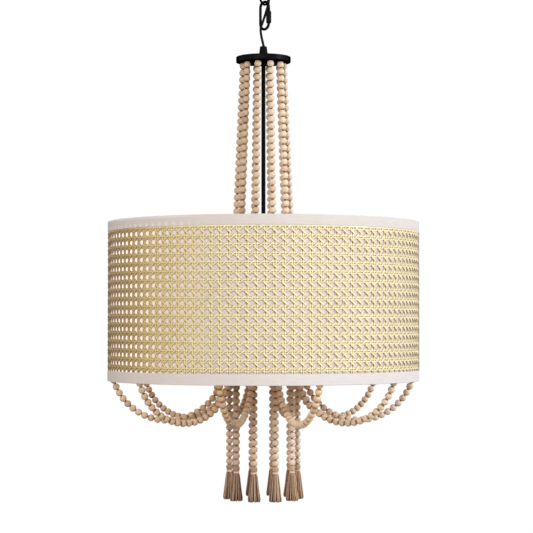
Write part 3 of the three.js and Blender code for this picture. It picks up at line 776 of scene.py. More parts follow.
def bead_string(name, centres, half_length, ends, body, node):
    """Beads on their centres with the cord that runs through them between two ends."""
    centres = np.asarray(centres, float)
    parts = []
    grains = []
    tones = []
    for centre, direction in zip(centres, np.gradient(centres, axis=0)):
        points, faces, grain = bead(centre, direction, half_length)
        parts.append((points, faces))
        grains.append(grain)
        # Painted shade towards each hole, where the beads meet
        from_end = np.abs((points - centre) @ (direction / np.linalg.norm(direction))) / half_length
        closeness = np.clip((from_end - HOLE_SHADE_START) / HOLE_SHADE_RUN, 0, 1)
        tone = min(1.0, max(DARKEST_BEAD, draw.gauss(*BEAD_TONE)))
        tones.append(tone * (1 - HOLE_SHADE * closeness))
    bead_faces = sum(len(faces) for _, faces in parts)
    string = tube([ends[0], *centres, ends[1]], STRING_RADIUS, 6)
    parts.append(string)
    grains.append(string[0] / BEAD_RADIUS)
    tones.append(np.full(len(string[0]), 0.5))
    skin = merged(parts)
    made = piece(name, skin, BEAD, body, [node])
    made.data.materials.append(STRING)
    index = np.zeros(len(skin[1]), np.int32)
    index[bead_faces:] = 1
    made.data.polygons.foreach_set("material_index", index)
    write_grain(made, np.concatenate(grains))
    write_tone(made, np.concatenate(tones))


def upper_strings():
    top = levels("top_plate")[0]
    first = levels("upper_string_01")[1] - BEAD_RADIUS
    run = (UPPER_BEADS - 1) * UPPER_PITCH
    out = STRAND_RADIUS - TOP_STRAND_RADIUS
    drop = math.sqrt(run**2 - out**2)
    ring_top = levels("bead_ring")[1]
    for i in range(STRAND_COUNT):
        outward = spoke_direction(strand_angle(i))
        centres = []
        for j in range(UPPER_BEADS):
            share = j / (UPPER_BEADS - 1)
            centres.append(outward * (TOP_STRAND_RADIUS + share * out) + [0, 0, first - share * drop])
        ends = [outward * TOP_STRAND_RADIUS + [0, 0, top], outward * STRAND_RADIUS + [0, 0, ring_top]]
        bead_string(
            f"upper_beads_{i + 1:02d}", centres, UPPER_PITCH / 2, ends, "fixture", f"upper_string_{i + 1:02d}"
        )


def hang_level():
    return levels("tassel_string_01")[1]


def tassel_strings():
    top = hang_level()
    for i in range(STRAND_COUNT):
        at = spoke_direction(strand_angle(i)) * STRAND_RADIUS
        centres = [at + [0, 0, top - BEAD_RADIUS - j * LOWER_PITCH] for j in range(LOWER_BEADS)]
        head_top = top - BEAD_RADIUS - (LOWER_BEADS - 0.5) * LOWER_PITCH
        ends = [at + [0, 0, top + FIT / 2], at + [0, 0, head_top - HEAD_LENGTH / 2]]
        body = f"tassel_{i + 1:02d}"
        node = f"tassel_string_{i + 1:02d}"
        bead_string(f"tassel_beads_{i + 1:02d}", centres, LOWER_PITCH / 2, ends, body, node)
        tassel(i + 1, at, head_top, body)


def swags():
    top = hang_level()
    half = (SWAG_OUTER - SWAG_INNER) / 2
    radius = (half**2 + SWAG_SAG**2) / (2 * SWAG_SAG)
    middle = SWAG_INNER + half
    centre = top - BEAD_RADIUS - SWAG_SAG + radius
    reach = math.asin(half / radius)
    pitch = 2 * reach * radius / (SWAG_BEADS - 1)
    for i in range(STRAND_COUNT):
        outward = spoke_direction(strand_angle(i))
        centres = []
        for j in range(SWAG_BEADS):
            angle = (2 * j / (SWAG_BEADS - 1) - 1) * reach
            level = centre - radius * math.cos(angle)
            centres.append(outward * (middle + radius * math.sin(angle)) + [0, 0, level])
        ends = [outward * SWAG_INNER + [0, 0, top + FIT / 2], outward * SWAG_OUTER + [0, 0, top + FIT / 2]]
        body = f"swag_{i + 1:02d}"
        bead_string(f"swag_beads_{i + 1:02d}", centres, pitch / 2, ends, body, body)


# Tassels

def yarn_head(at, top):
    """Folded yarn over the string's end, with soft upright ridges and a crease round its middle."""
    rows = 14
    sides = 48
    start, run, fullness = HEAD_SWELL
    depth, middle, width = HEAD_CREASE
    turn = TAU * np.arange(sides) / sides
    rings = []
    for row in range(rows + 1):
        share = row / rows
        swell = math.sin(math.pi * min(1.0, start + run * share)) ** fullness
        crease = 1 - depth * math.exp(-(((share - middle) / width) ** 2))
        radius = HEAD_RADIUS * swell * crease * (1 + HEAD_RIDGE * np.cos(HEAD_RIDGES * turn + 3 * share))
        level = np.full(sides, top - HEAD_LENGTH * share)
        rings.append(np.stack([at[0] + radius * np.cos(turn), at[1] + radius * np.sin(turn), level], axis=-1))
    return loft(rings), HEAD_TONE + (1 - HEAD_TONE) * np.cos(HEAD_RIDGES * np.tile(turn, rows + 1))


def skirt_radius(share):
    """Radius of the skirt at a share of its length below the band, drawn in a little at the hem."""
    shoulder = SKIRT_TOP_RADIUS + SKIRT_SWELL * np.sin(np.minimum(1.0, share / SHOULDER_SHARE) * math.pi / 2)
    hem = HEM_ROUNDING * np.maximum(0.0, (share - HEM_START) / (1 - HEM_START)) ** 2
    return shoulder + (HEM_RADIUS - SKIRT_TOP_RADIUS - SKIRT_SWELL) * share**1.3 - hem


def yarn_skirt(at, top):
    """Cut yarn below the band: a core darkened as painted shade inside the skirt, and strands that gather
    into clumps towards the hem.
    """
    core = [(width * skirt_radius(share), top - SKIRT_LENGTH * share) for share, width in CORE_SHARES]
    parts = [turned(core, 20, at[:2])]
    tones = [np.full(len(parts[0][0]), CORE_SHADE)]
    clump_turn = draw.uniform(0, TAU)
    clump_places = []
    for i in range(YARN_CLUMPS):
        clump_places.append(clump_turn + TAU * (i + draw.uniform(-YARN_SCATTER, YARN_SCATTER)) / YARN_CLUMPS)
    clump_tones = [draw.gauss(0, CLUMP_TONE_SPREAD) for _ in range(YARN_CLUMPS)]
    shares = np.linspace(0, 1, YARN_STEPS + 1)
    radii = np.interp(shares, [0, 0.85, 1], [0.7, 1.0, 0.75]) * YARN_RADIUS
    for count, depth in YARN_LAYERS:
        for i in range(count):
            angle = TAU * (i + draw.uniform(-YARN_SCATTER, YARN_SCATTER)) / count
            gaps = [math.remainder(place - angle, TAU) for place in clump_places]
            nearest = min(range(YARN_CLUMPS), key=lambda j: abs(gaps[j]))
            gap = gaps[nearest]
            stray = min(1.0, abs(gap) * YARN_CLUMPS / math.pi)
            pull = draw.uniform(*YARN_PULL)
            length_share = draw.uniform(YARN_SHORTEST, 1.0) - STRAY_SHORTER * stray
            length = (SKIRT_LENGTH + BAND_CREASE / 2) * length_share
            sway = draw.uniform(-YARN_SWAY, YARN_SWAY)
            turn = angle + gap * pull * shares**1.5 + sway * np.sin(math.pi * shares)
            sink = 1 - STRAY_SINK * stray**2 * (0.4 + 0.6 * shares)
            wave = 1 + YARN_WAVE * np.sin(7 * shares + i)
            radius = (skirt_radius(shares) - YARN_RADIUS) * depth * sink * wave
            strand = tube(np.stack([
                at[0] + radius * np.cos(turn), at[1] + radius * np.sin(turn), top - length * shares
            ], axis=-1), radii, 5)
            parts.append(strand)
            # Painted shade on the strays between clumps and on the inner layers
            tone = draw.gauss(*YARN_TONE) + clump_tones[nearest] - STRAY_SHADE * stray**1.6
            tone *= INNER_LAYER_SHADE + (1 - INNER_LAYER_SHADE) * depth
            tones.append(np.full(len(strand[0]), min(1.0, max(0.0, tone))))
    return merged(parts), np.concatenate(tones)


def band_outline(top):
    """Threads wound round the yarn, each with a round edge."""
    thread = (BAND_LENGTH - BAND_CREASE) / BAND_THREADS
    outline = [(BAND_CORE, top)]
    for i in range(BAND_THREADS):
        for angle in np.linspace(0, math.pi, 5):
            level = top - thread * (i + (1 - math.cos(angle)) / 2)
            outline.append((BAND_RADIUS + BAND_BULGE * thread * math.sin(angle), level))
    outline.append((BAND_CORE, top - BAND_LENGTH + BAND_CREASE))
    return outline


def tassel(number, at, head_top, body):
    band_top = head_top - HEAD_LENGTH
    head, head_tones = yarn_head(at, head_top)
    skirt, skirt_tones = yarn_skirt(at, band_top - BAND_LENGTH + BAND_CREASE / 2)
    made = piece(f"tassel_yarn_{number:02d}", merged([head, skirt]), YARN, body, ())
    write_tone(made, np.concatenate([head_tones, skirt_tones]))
    band = turned(band_outline(band_top), 28, at[:2])
    piece(f"tassel_band_{number:02d}", band, BAND, body, (), sharp=70)


# Shade

def on_drum(angle, radius, level):
    """Points on a drum, from arrays of angle, radius and level."""
    return np.stack([radius * np.sin(angle), -radius * np.cos(angle), level + 0 * angle], axis=-1)


def drum_radius(node):
    """Largest distance of a node from the axis."""
    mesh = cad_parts[node].data
    return max(math.hypot(vertex.co.x, vertex.co.y) for vertex in mesh.vertices)


def cloth_hoop(name, outline, finish, node):
    """Cloth band turned about the axis from a closed outline, with its grain in millimetres."""
    outline = np.asarray(outline, float)
    turn = TAU * np.arange(SHADE_STEPS) / SHADE_STEPS
    rings = []
    grains = []
    lengths = np.concatenate([[0], np.cumsum(np.linalg.norm(np.diff(outline, axis=0), axis=1))])
    for (radius, level), run in zip(outline, lengths):
        slack = sum(size * np.sin(waves * turn + drift * run) for size, waves, drift in CLOTH_SLACK)
        rings.append(on_drum(turn, radius + slack, level))
        grains.append(np.stack([turn * radius / MM, np.full(SHADE_STEPS, run / MM), 0 * turn], axis=-1))
    made = piece(name, loft(rings, loop=True), finish, "fixture", [node], sharp=60)
    write_grain(made, np.concatenate(grains))


def trim_band(node, edge, inward, width):
    """Cloth folded over an edge of the shade. Inward is 1 where the shade lies above it, and -1 below."""
    face = SHADE_RADIUS - TRIM_FOLD
    back = TRIM_INNER + TRIM_GAP
    outline = [
        (LINER_INNER, edge), (SHADE_RADIUS, edge), (face, edge + inward * TRIM_FOLD_WIDTH),
        (face, edge + inward * width), (back, edge + inward * width),
        (back, edge + inward * TRIM_LIP), (LINER_INNER, edge + inward * TRIM_LIP),
    ]
    cloth_hoop(f"{node}_band", softened(outline, 1.1 * MM, 4, closed=True), TRIM, node)


def trims_and_liner():
    trim_band("top_trim", levels("top_trim")[1], -1, TOP_TRIM)
    trim_band("bottom_trim", levels("bottom_trim")[0], 1, BOTTOM_TRIM)
    outline = wall(LINER_INNER, LINER_OUTER - LINER_SET_BACK, *levels("shade_liner"))
    outline = softened(outline, 0.5 * MM, 2, closed=True)
    cloth_hoop("shade_liner_cloth", outline, LINER, "shade_liner")


def seam_band():
    """Upright fabric band over the joint in the cane, with turned edges."""
    low, high = levels("seam_strip")
    radius = drum_radius("seam_strip")
    back = radius - SEAM_THICKNESS
    half = SEAM_WIDTH / radius / 2
    relief = np.array(SEAM_EDGE + (SEAM_MIDDLE,) * (SEAM_COLUMNS + 1 - 2 * len(SEAM_EDGE)) + SEAM_EDGE[::-1])
    angles = SEAM_ANGLE + np.linspace(-half, half, SEAM_COLUMNS + 1)
    run = np.concatenate([angles, angles[::-1]]) * radius / MM
    sheets = []
    grains = []
    for row in range(SEAM_ROWS + 1):
        level = low + (high - low) * row / SEAM_ROWS
        outer = back + relief * SEAM_THICKNESS + SEAM_RIPPLE * math.sin(1.7 * row)
        sheets.append(np.concatenate([on_drum(angles, outer, level), on_drum(angles[::-1], back, level)]))
        grains.append(np.stack([run, np.full(len(run), level / MM), 0 * run], axis=-1))
    made = piece("seam_band", loft(sheets), TRIM, "fixture", ["seam_strip"], sharp=50)
    write_grain(made, np.concatenate(grains))


# Cane webbing, with upright and level pairs, and diagonals that cross them midway between the holes

class Webbing:
    """Strands gathered into one mesh, with their grain and tone."""

    def __init__(self):
        self.parts = []
        self.grains = []
        self.tones = []

    def lay(self, angles, level, rise, section, covered, loop=False, wrap=False):
        """One strand, from arrays of angle, level, height over the webbing's middle and share of shadow.
        The section gives each corner's place across, its height and how dark it is, as painted shade with
        darker cut edges."""
        flat = np.stack([angles * CANE_MIDDLE, level], axis=-1)
        if wrap:
            ahead = np.roll(flat, -1, axis=0) - np.roll(flat, 1, axis=0)
            ahead[0] = flat[1] - flat[0]
            ahead[-1] = ahead[0]
        else:
            ahead = np.gradient(flat, axis=0)
        ahead /= np.linalg.norm(ahead, axis=1)[:, None]
        side = np.stack([ahead[:, 1], -ahead[:, 0]], axis=-1)
        count = len(angles)
        sides = len(section)
        rings = np.empty((count, sides, 3))
        for corner, (sideways, up, _) in enumerate(section):
            place = flat + side * sideways * MM
            rings[:, corner] = on_drum(place[:, 0] / CANE_MIDDLE, CANE_MIDDLE + rise + up * MM, place[:, 1])
        self.parts.append(loft(rings, loop=loop))
        run = np.cumsum(np.full(count, CANE_ROW_PITCH / MM / 4)) + draw.uniform(0, 500)
        darkness = np.tile([dark for _, _, dark in section], count)
        shift = np.full(count * sides, draw.uniform(0, 60))
        self.grains.append(np.stack([np.repeat(run, sides), darkness, shift], axis=-1))
        tone = min(1.0, max(DARKEST_STRAND, draw.gauss(*CANE_TONE)))
        self.tones.append(np.repeat(tone * (1 - COVERED_SHADOW * covered), sides))

    def finish(self):
        made = piece("cane_webbing", merged(self.parts), CANE, "fixture", ["shade_cane"])
        write_grain(made, np.concatenate(self.grains))
        write_tone(made, np.concatenate(self.tones))


def cane_levels():
    """Lower and upper end of the webbing, a little past the node's own."""
    low, high = levels("shade_cane")
    return low - CANE_OVERLAP, high + CANE_OVERLAP


def cane_rows():
    return int((CANE_ROW_TOP + CANE_ROW_PITCH - cane_levels()[0]) / CANE_ROW_PITCH) + 2


def upright_pairs(webbing):
    low, high = cane_levels()
    rows = cane_rows()
    steps = np.concatenate([row + WEAVE_STEPS for row in range(rows)])
    level = CANE_ROW_TOP + CANE_ROW_PITCH * (1 - steps)
    inside = (level > low) & (level < high)
    level = np.concatenate([[high], level[inside], [low]])
    wave = np.concatenate([[0.0], np.tile(WEAVE_WAVE, rows)[inside], [0.0]])
    shadow = np.concatenate([[CUT_SHADOW], np.tile(WEAVE_SHADOW, rows)[inside], [CUT_SHADOW]])
    for i in range(CANE_COLUMNS):
        for side, section in ((-1, LEFT_SECTION), (1, RIGHT_SECTION)):
            angle = CANE_PHASE + (i + 0.5) * CANE_COLUMN + side * PAIR_OFFSET / CANE_MIDDLE
            wander = STRAND_WANDER / CANE_MIDDLE * np.sin(np.arange(len(level)) * 0.7 + draw.uniform(0, TAU))
            webbing.lay(angle + wander, level, side * wave * WEAVE_RISE, section, shadow)


def level_pairs(webbing):
    low, high = cane_levels()
    share = np.concatenate([i + WEAVE_STEPS for i in range(CANE_COLUMNS)])
    wave = np.tile(WEAVE_WAVE, CANE_COLUMNS)
    shadow = np.tile(WEAVE_SHADOW, CANE_COLUMNS)
    for row in range(-1, cane_rows()):
        for side, section in ((-1, LOWER_SECTION), (1, UPPER_SECTION)):
            at = CANE_ROW_TOP - (row + 0.5) * CANE_ROW_PITCH + side * PAIR_OFFSET
            if not low < at < high:
                continue
            level = at + STRAND_WANDER * np.sin(share * 1.9 + draw.uniform(0, TAU))
            angle = CANE_PHASE + share * CANE_COLUMN
            webbing.lay(angle, level, side * wave * WEAVE_RISE, section, shadow, loop=True, wrap=True)


def diagonals(webbing):
    low, high = cane_levels()
    along_strand = np.arange(0, cane_rows() + 1, 1 / 6)
    level = CANE_ROW_TOP + CANE_ROW_PITCH - along_strand * CANE_ROW_PITCH
    inside = (level > low) & (level < high)
    for slope, section in ((-1, RISING_SECTION), (1, FALLING_SECTION)):
        wave = slope * np.cos(TAU * along_strand)
        rise = DIAGONAL_MIDDLE + DIAGONAL_RISE * wave
        for i in range(CANE_COLUMNS):
            angle = CANE_PHASE + (i + 0.5 + slope * along_strand) * CANE_COLUMN
            webbing.lay(angle[inside], level[inside], rise[inside], section, 0.5 - 0.5 * wave[inside])


def edge_reed(webbing):
    """Reed along the upper edge of the webbing."""
    share = np.arange(4 * CANE_COLUMNS) / 4
    rise = 0 * share + DIAGONAL_MIDDLE + DIAGONAL_RISE / 2
    level = 0 * share + levels("shade_cane")[1] - EDGE_REED / 2
    angle = CANE_PHASE + share * CANE_COLUMN
    webbing.lay(angle, level, rise, RISING_SECTION, 0 * share, loop=True, wrap=True)


def cane_webbing():
    webbing = Webbing()
    upright_pairs(webbing)
    level_pairs(webbing)
    diagonals(webbing)
    edge_reed(webbing)
    webbing.finish()


# Hanger

def steel_piece(name, parts, body, node, sharp=40):
    piece(name, merged(parts), STEEL, body, [node], sharp=sharp)


def stadium(width, length, wire, steps=14):
    """Middle line of a link with round ends, in its own plane, hanging down from its top."""
    bend = width / 2 - wire
    straight = length / 2 - wire - bend
    points = []
    for end in (1, -1):
        for angle in np.linspace(0, math.pi, steps + 1):
            up = straight + bend * math.sin(angle)
            points.append((end * bend * math.cos(angle), end * up - length / 2))
    return points


def stood(points, yaw, lean, at):
    """Points of a plane turned about the upright axis, leant in the XZ plane and moved."""
    made = []
    for along_plane, up in points:
        x = along_plane * math.cos(yaw)
        turned_x = x * math.cos(lean) + up * math.sin(lean)
        turned_z = up * math.cos(lean) - x * math.sin(lean)
        made.append(at + [turned_x, along_plane * math.sin(yaw), turned_z])
    return made


def mounting_strap():
    """Strap with round corners, and the threaded nipple below it."""
    low, high = levels("mounting_strap")
    strap_low = high - STRAP_THICKNESS
    ring = []
    for x, y, start in ((1, 1, 0), (-1, 1, 90), (-1, -1, 180), (1, -1, 270)):
        for angle in np.radians(np.linspace(start, start + 90, 5)):
            ring.append((
                x * (STRAP_LENGTH / 2 - STRAP_CORNER) + STRAP_CORNER * math.cos(angle),
                y * (STRAP_WIDTH / 2 - STRAP_CORNER) + STRAP_CORNER * math.sin(angle),
            ))
    layers = [(0.97, strap_low), (1.0, strap_low + 0.3 * MM), (1.0, high - 0.3 * MM), (0.99, high)]
    strap = loft([[(x * size, y * size, level) for x, y in ring] for size, level in layers])
    root = NIPPLE_RADIUS - NIPPLE_PITCH / 2
    threads = [(0.0, low)]
    level = low
    while level < strap_low:
        threads += [(root, level), (NIPPLE_RADIUS, level + NIPPLE_PITCH / 2)]
        level += NIPPLE_PITCH
    threads += [(root, strap_low + 0.2 * MM), (0.0, strap_low + 0.2 * MM)]
    steel_piece("strap_and_nipple", [strap, turned(threads, 28)], "ceiling", "mounting_strap")


def canopy():
    """Dished cover, with the boss through which the cord enters."""
    rim = CANOPY_RADIUS
    inner = rim - CANOPY_WALL
    hole = NIPPLE_RADIUS + FIT
    chamfer = CANOPY_CHAMFER + CANOPY_WALL / 2
    dish = lathe([
        (hole, CANOPY_BOTTOM), (rim - CANOPY_CHAMFER, CANOPY_BOTTOM), (rim, CANOPY_BOTTOM + CANOPY_CHAMFER),
        (rim, CANOPY_TOP), (inner, CANOPY_TOP), (inner, CANOPY_BOTTOM + chamfer),
        (rim - chamfer, CANOPY_BOTTOM + CANOPY_WALL), (hole, CANOPY_BOTTOM + CANOPY_WALL),
    ], 4 * MM, 5, 96, loop=True)
    low = levels("ceiling_canopy")[0]
    boss = lathe([
        (0, CANOPY_BOTTOM + MM), (BOSS_RADIUS, CANOPY_BOTTOM + MM), (BOSS_RADIUS, low + 1.5 * MM),
        (4.6 * MM, low), (BOSS_HOLE, low), (BOSS_HOLE, low + 0.6 * MM), (0, low + 0.6 * MM),
    ], 0.5 * MM, 3, 32, BOSS_PLACE)
    steel_piece("canopy_dish", [dish, boss], "ceiling", "ceiling_canopy")


def eye_level():
    return levels("canopy_loop")[0] + LOOP_RADIUS + LOOP_WIRE


def canopy_loop():
    """Collar under the canopy and the round eye that hangs from it."""
    top = CANOPY_BOTTOM - FIT
    low = top - COLLAR_HEIGHT
    collar = lathe([
        (0, top), (10 * MM, top), (COLLAR_RADIUS, top - 1.5 * MM), (COLLAR_RADIUS, low + 2.4 * MM),
        (8 * MM, low - 0.6 * MM), (0, low - 0.6 * MM),
    ], 0.7 * MM, 3, 40)
    circle = TAU * np.arange(36) / 36
    eye = np.stack([LOOP_RADIUS * np.cos(circle), LOOP_RADIUS * np.sin(circle)], axis=-1)
    ring = tube(stood(eye, HANGER_YAW, 0, np.array([0, 0, eye_level()])), LOOP_WIRE, 16, loop=True)
    steel_piece("loop_and_collar", [collar, ring], "ceiling", "canopy_loop")


def links():
    """Chain link in the eye, quick link in the chain link, and the sleeve that closes it."""
    link_top = eye_level() - LOOP_RADIUS + LOOP_WIRE + LINK_PLAY + 2 * LINK_WIRE
    outline = [(x, z + LINK_WIRE) for x, z in stadium(LINK_WIDTH, LINK_LENGTH, LINK_WIRE)]
    at = np.array([0, 0, link_top - LINK_WIRE])
    ring = tube(stood(outline, HANGER_YAW + math.pi / 2, -LINK_LEAN, at), LINK_WIRE, 16, loop=True)
    steel_piece("chain_link_ring", [ring], "fixture", "chain_link", sharp=None)

    shift = math.sin(LINK_LEAN) * (LINK_LENGTH - 2 * LINK_WIRE)
    quick_top = link_top - LINK_LENGTH + 2 * LINK_WIRE + LINK_PLAY + 2 * QUICK_WIRE
    at = np.array([shift, 0, quick_top])
    outline = stadium(QUICK_WIDTH, QUICK_LENGTH, QUICK_WIRE)
    wire = tube(stood(outline, HANGER_YAW, 0, at), QUICK_WIRE, 18, loop=True)
    leg = at + np.array([math.cos(HANGER_YAW), math.sin(HANGER_YAW), 0]) * (QUICK_WIDTH / 2 - QUICK_WIRE)
    low, high = levels("quick_link_sleeve")
    level = high - 2 * MM
    threads = [(0, level)]
    while level < high + THREAD_RUN:
        threads.append((QUICK_WIRE, level + 0.01 * MM))
        threads.append((QUICK_WIRE + 0.22 * MM, level + QUICK_PITCH / 2))
        threads.append((QUICK_WIRE, level + QUICK_PITCH))
        level += QUICK_PITCH
    threads.append((0, level + 0.1 * MM))
    steel_piece("quick_link_wire", [wire, turned(threads, 24, leg[:2])], "fixture", "quick_link", sharp=50)

    bore = QUICK_WIRE + FIT
    shoulder = SLEEVE_RADIUS - SLEEVE_CHAMFER
    nut = lathe([
        (bore, low), (shoulder, low), (SLEEVE_RADIUS, low + SLEEVE_CHAMFER),
        (SLEEVE_RADIUS, high - SLEEVE_CHAMFER), (shoulder, high), (bore, high),
    ], 0.35 * MM, 3, 36, leg[:2], loop=True)
    steel_piece("sleeve_nut", [nut], "sleeve", "quick_link_sleeve", sharp=35)


# Centre line and frames

def lathe_piece(name, outline, softness, node, steps=72, loop=False):
    """Steel turned about the chandelier's axis."""
    steel_piece(name, [lathe(outline, softness, 4, steps, loop=loop)], "fixture", node, sharp=38)


def centre_line():
    low, high = levels("cord_grip")
    lathe_piece("cord_grip_body", [
        (0, high - 1.2 * MM), (CORD_RADIUS + 0.5 * MM, high - 1.2 * MM), (CORD_RADIUS + 0.9 * MM, high),
        (GRIP_TOP_RADIUS - 0.6 * MM, high), (GRIP_TOP_RADIUS, high - MM), (GRIP_BOTTOM_RADIUS, low), (0, low),
    ], 0.8 * MM, "cord_grip")
    plate = wall(ROD_RADIUS + FIT, PLATE_RADIUS, *levels("top_plate"))
    lathe_piece("top_plate_disc", plate, 1.4 * MM, "top_plate", steps=128, loop=True)
    rod = wall(ROD_BORE, ROD_RADIUS, *levels("center_rod"))
    lathe_piece("lamp_rod", rod, 0.4 * MM, "center_rod", steps=36, loop=True)
    low, high = levels("finial")
    lathe_piece("finial_knob", [
        (0, low), (5.5 * MM, low), (9.9 * MM, low + 4.5 * MM),
        (10 * MM, high - 1.5 * MM), (8.5 * MM, high), (0, high),
    ], 2 * MM, "finial", steps=48)


def spoked_frame(name, node, inner, outer, low, high, hub_high, sides):
    """Flat ring with a hub on the rod and flat spokes between the strings."""
    hole = ROD_RADIUS + FIT
    ring = lathe(wall(inner, outer, low, high), 0.5 * MM, 2, sides, loop=True)
    hub = lathe(wall(hole, HUB_RADIUS, low, hub_high), 0.5 * MM, 2, 40, loop=True)
    parts = [ring, hub]
    start = (hole + HUB_RADIUS) / 2
    end = (inner + outer) / 2
    half = SPOKE_WIDTH / 2
    flat = half - SPOKE_EDGE
    section = [
        (-half, low + SPOKE_EDGE), (-flat, low), (flat, low), (half, low + SPOKE_EDGE),
        (half, high - SPOKE_EDGE), (flat, high), (-flat, high), (-half, high - SPOKE_EDGE),
    ]
    for i in range(SPOKES):
        outward = spoke_direction(FIRST_SPOKE + TAU * i / SPOKES)
        aside = np.array([-outward[1], outward[0], 0])
        rings = [[outward * run + aside * x + [0, 0, z] for x, z in section] for run in (start, end)]
        parts.append(loft(rings))
    steel_piece(name, parts, "fixture", node, sharp=35)


def frames():
    outer = LINER_INNER - FIT
    inner = outer - SHADE_RING_WIDTH
    low, high = levels("bead_ring")
    spoked_frame("inner_bead_ring", "bead_ring", BEAD_RING_INNER, BEAD_RING_OUTER, low, high, high, 96)
    low, high = levels("shade_spider")
    spoked_frame("spider_frame", "shade_spider", inner, outer, low, low + SPIDER_THICKNESS, high, SHADE_STEPS)
    ring = wall(inner, outer, *levels("shade_ring"))
    lathe_piece("lower_shade_ring", ring, 0.5 * MM, "shade_ring", steps=SHADE_STEPS, loop=True)


# Lights

def arm_and_pan(at, hub_level, pan_top):
    """Arm that dips on its way from the hub to a light, and the pan on its end."""
    outward = at / ARM_REACH
    corners = [
        outward * 10 * MM + [0, 0, hub_level], at / 2 + [0, 0, hub_level - ARM_DIP],
        at + [0, 0, hub_level - ARM_DIP], at + [0, 0, pan_top - 1.5 * MM],
    ]
    path = []
    for t in np.linspace(0, 1, 25):
        weights = ((1 - t) ** 3, 3 * t * (1 - t) ** 2, 3 * t * t * (1 - t), t**3)
        path.append(sum(weight * corner for weight, corner in zip(weights, corners)))
    rim = pan_top + 1.2 * MM
    pan = lathe([
        (0, pan_top - 3 * MM), (13 * MM, pan_top - 3 * MM), (PAN_RADIUS, pan_top - 0.4 * MM),
        (PAN_RADIUS, rim), (PAN_RADIUS - MM, rim), (14.5 * MM, pan_top), (0, pan_top),
    ], 0.8 * MM, 3, 40, at[:2])
    return [tube(path, ARM_RADIUS, 16), pan]


def candle_sleeve(number, at):
    low, high = levels("socket_1")
    cap_low = levels("bulb_1")[0]
    sleeve = lathe([
        (SOCKET_BORE, cap_low + 2 * MM), (SOCKET_BORE, high), (SOCKET_RADIUS, high), (SOCKET_RADIUS, low),
        (0, low), (0, cap_low - FIT), (SOCKET_BORE, cap_low - FIT),
    ], 0.6 * MM, 3, 40, at[:2], loop=True)
    node = f"socket_{number}"
    piece(f"candle_sleeve_{number}", sleeve, SLEEVE, "fixture", [node], sharp=40)


def bulb(number, at):
    """Candle bulb: frosted glass over a brass cap with its thread."""
    cap_low, top = levels(f"bulb_{number}")
    seat = levels("socket_1")[1]
    length = top - seat
    outline = [(0.0, seat - 0.02 * length)]
    outline += [(BULB_RADIUS * width, seat + length * share) for width, share in BULB_SHARES]
    glass = lathe(outline, 5 * MM, 3, 36, at[:2])
    body = f"bulb_{number}"
    piece(f"bulb_glass_{number}", glass, BULB, body, [body], sharp=60)
    thread = [(0, cap_low), (3 * MM, cap_low), (4 * MM, cap_low + 2 * MM), (6 * MM, cap_low + 3 * MM)]
    level = cap_low + 4 * MM
    while level < seat - 3 * MM:
        thread += [(CAP_ROOT, level), (CAP_RADIUS, level + CAP_PITCH / 2)]
        level += CAP_PITCH
    thread += [(6.6 * MM, seat - 2 * MM), (CAP_RADIUS, seat - 0.5 * MM), (0, seat - 0.5 * MM)]
    piece(f"bulb_cap_{number}", turned(thread, 32, at[:2]), BRASS, body, (), sharp=50)


def lights():
    pan_top = levels("socket_1")[0] - FIT
    hub_level = pan_top - HUB_DROP
    half = LIGHT_HUB_HEIGHT / 2
    hub = wall(ROD_RADIUS + FIT, LIGHT_HUB_RADIUS, hub_level - half, hub_level + half)
    parts = [lathe(hub, 3 * MM, 5, 48, loop=True)]
    for i in range(LIGHTS):
        at = spoke_direction(FIRST_SPOKE + TAU * (i + 0.5) / LIGHTS) * ARM_REACH
        parts += arm_and_pan(at, hub_level, pan_top)
        candle_sleeve(i + 1, at)
        bulb(i + 1, at)
    steel_piece("light_arms", parts, "fixture", "light_hub")


# Camera, light and stage

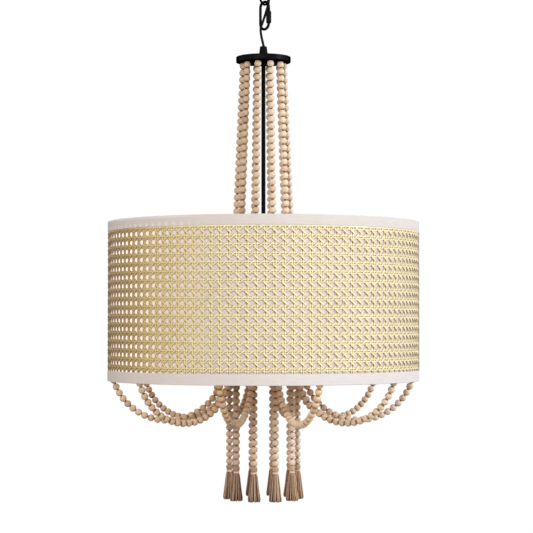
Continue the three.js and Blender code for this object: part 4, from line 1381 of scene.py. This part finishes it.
def camera():
    data = bpy.data.cameras.new("camera")
    data.lens = CAMERA_LENS
    data.sensor_width = CAMERA_SENSOR
    data.clip_end = 60
    made = bpy.data.objects.new("camera", data)
    made.location = CAMERA_PLACE
    made.rotation_euler = (math.pi / 2 + CAMERA_TILT, 0, 0)
    bpy.context.scene.collection.objects.link(made)
    bpy.context.scene.camera = made


def lamp(name, place, size, power, colour=(1, 1, 1)):
    """Round soft lamp that faces the middle of the shade."""
    data = bpy.data.lights.new(name, "AREA")
    data.shape = "DISK"
    data.size = size
    data.energy = power
    data.color = colour
    made = bpy.data.objects.new(name, data)
    made.location = place
    made.rotation_euler = (Vector(LAMP_TARGET) - Vector(place)).to_track_quat("-Z", "Y").to_euler()
    bpy.context.scene.collection.objects.link(made)


def backdrop_rays(tree):
    """One where the ray comes from the camera, a glossy surface or glass."""
    path = add(tree, "ShaderNodeLightPath").outputs
    seen = worked_out(tree, "MAXIMUM", path["Is Camera Ray"], path["Is Glossy Ray"])
    return worked_out(tree, "MAXIMUM", seen, path["Is Transmission Ray"])


def studio():
    world = bpy.data.worlds.new("studio")
    bpy.context.scene.world = world
    world.use_nodes = True
    tree = world.node_tree
    tree.nodes.clear()
    direction = add(tree, "ShaderNodeTexCoord").outputs["Generated"]
    towards = add(tree, "ShaderNodeVectorMath", {0: direction, 1: AMBIENT_SIDE}, operation="DOT_PRODUCT")
    ambient = ramp(tree, spread(tree, towards.outputs["Value"], -1, 1), AMBIENT)
    dim = add(tree, "ShaderNodeBackground", {"Color": ambient, "Strength": 1.0})
    white = add(tree, "ShaderNodeBackground", {"Color": (1, 1, 1, 1), "Strength": 1.0})
    share = backdrop_rays(tree)
    both = add(tree, "ShaderNodeMixShader", {"Fac": share, 1: dim.outputs[0], 2: white.outputs[0]})
    add(tree, "ShaderNodeOutputWorld", {"Surface": both.outputs[0]})

    lamp("key", (4.12, -1.15, 0.45), size=1.6, power=107)
    lamp("fill", (-1.25, -3.85, 0.1), size=1.6, power=76, colour=(1.0, 0.93, 0.87))
    lamp("back", (1.6, 3.0, 1.4), size=1.4, power=24)
    bpy.context.scene.view_settings.view_transform = "Standard"


camera()
hanging_cord()
mounting_strap()
canopy()
canopy_loop()
links()
centre_line()
frames()
upper_strings()
tassel_strings()
swags()
trims_and_liner()
seam_band()
cane_webbing()
lights()
studio()
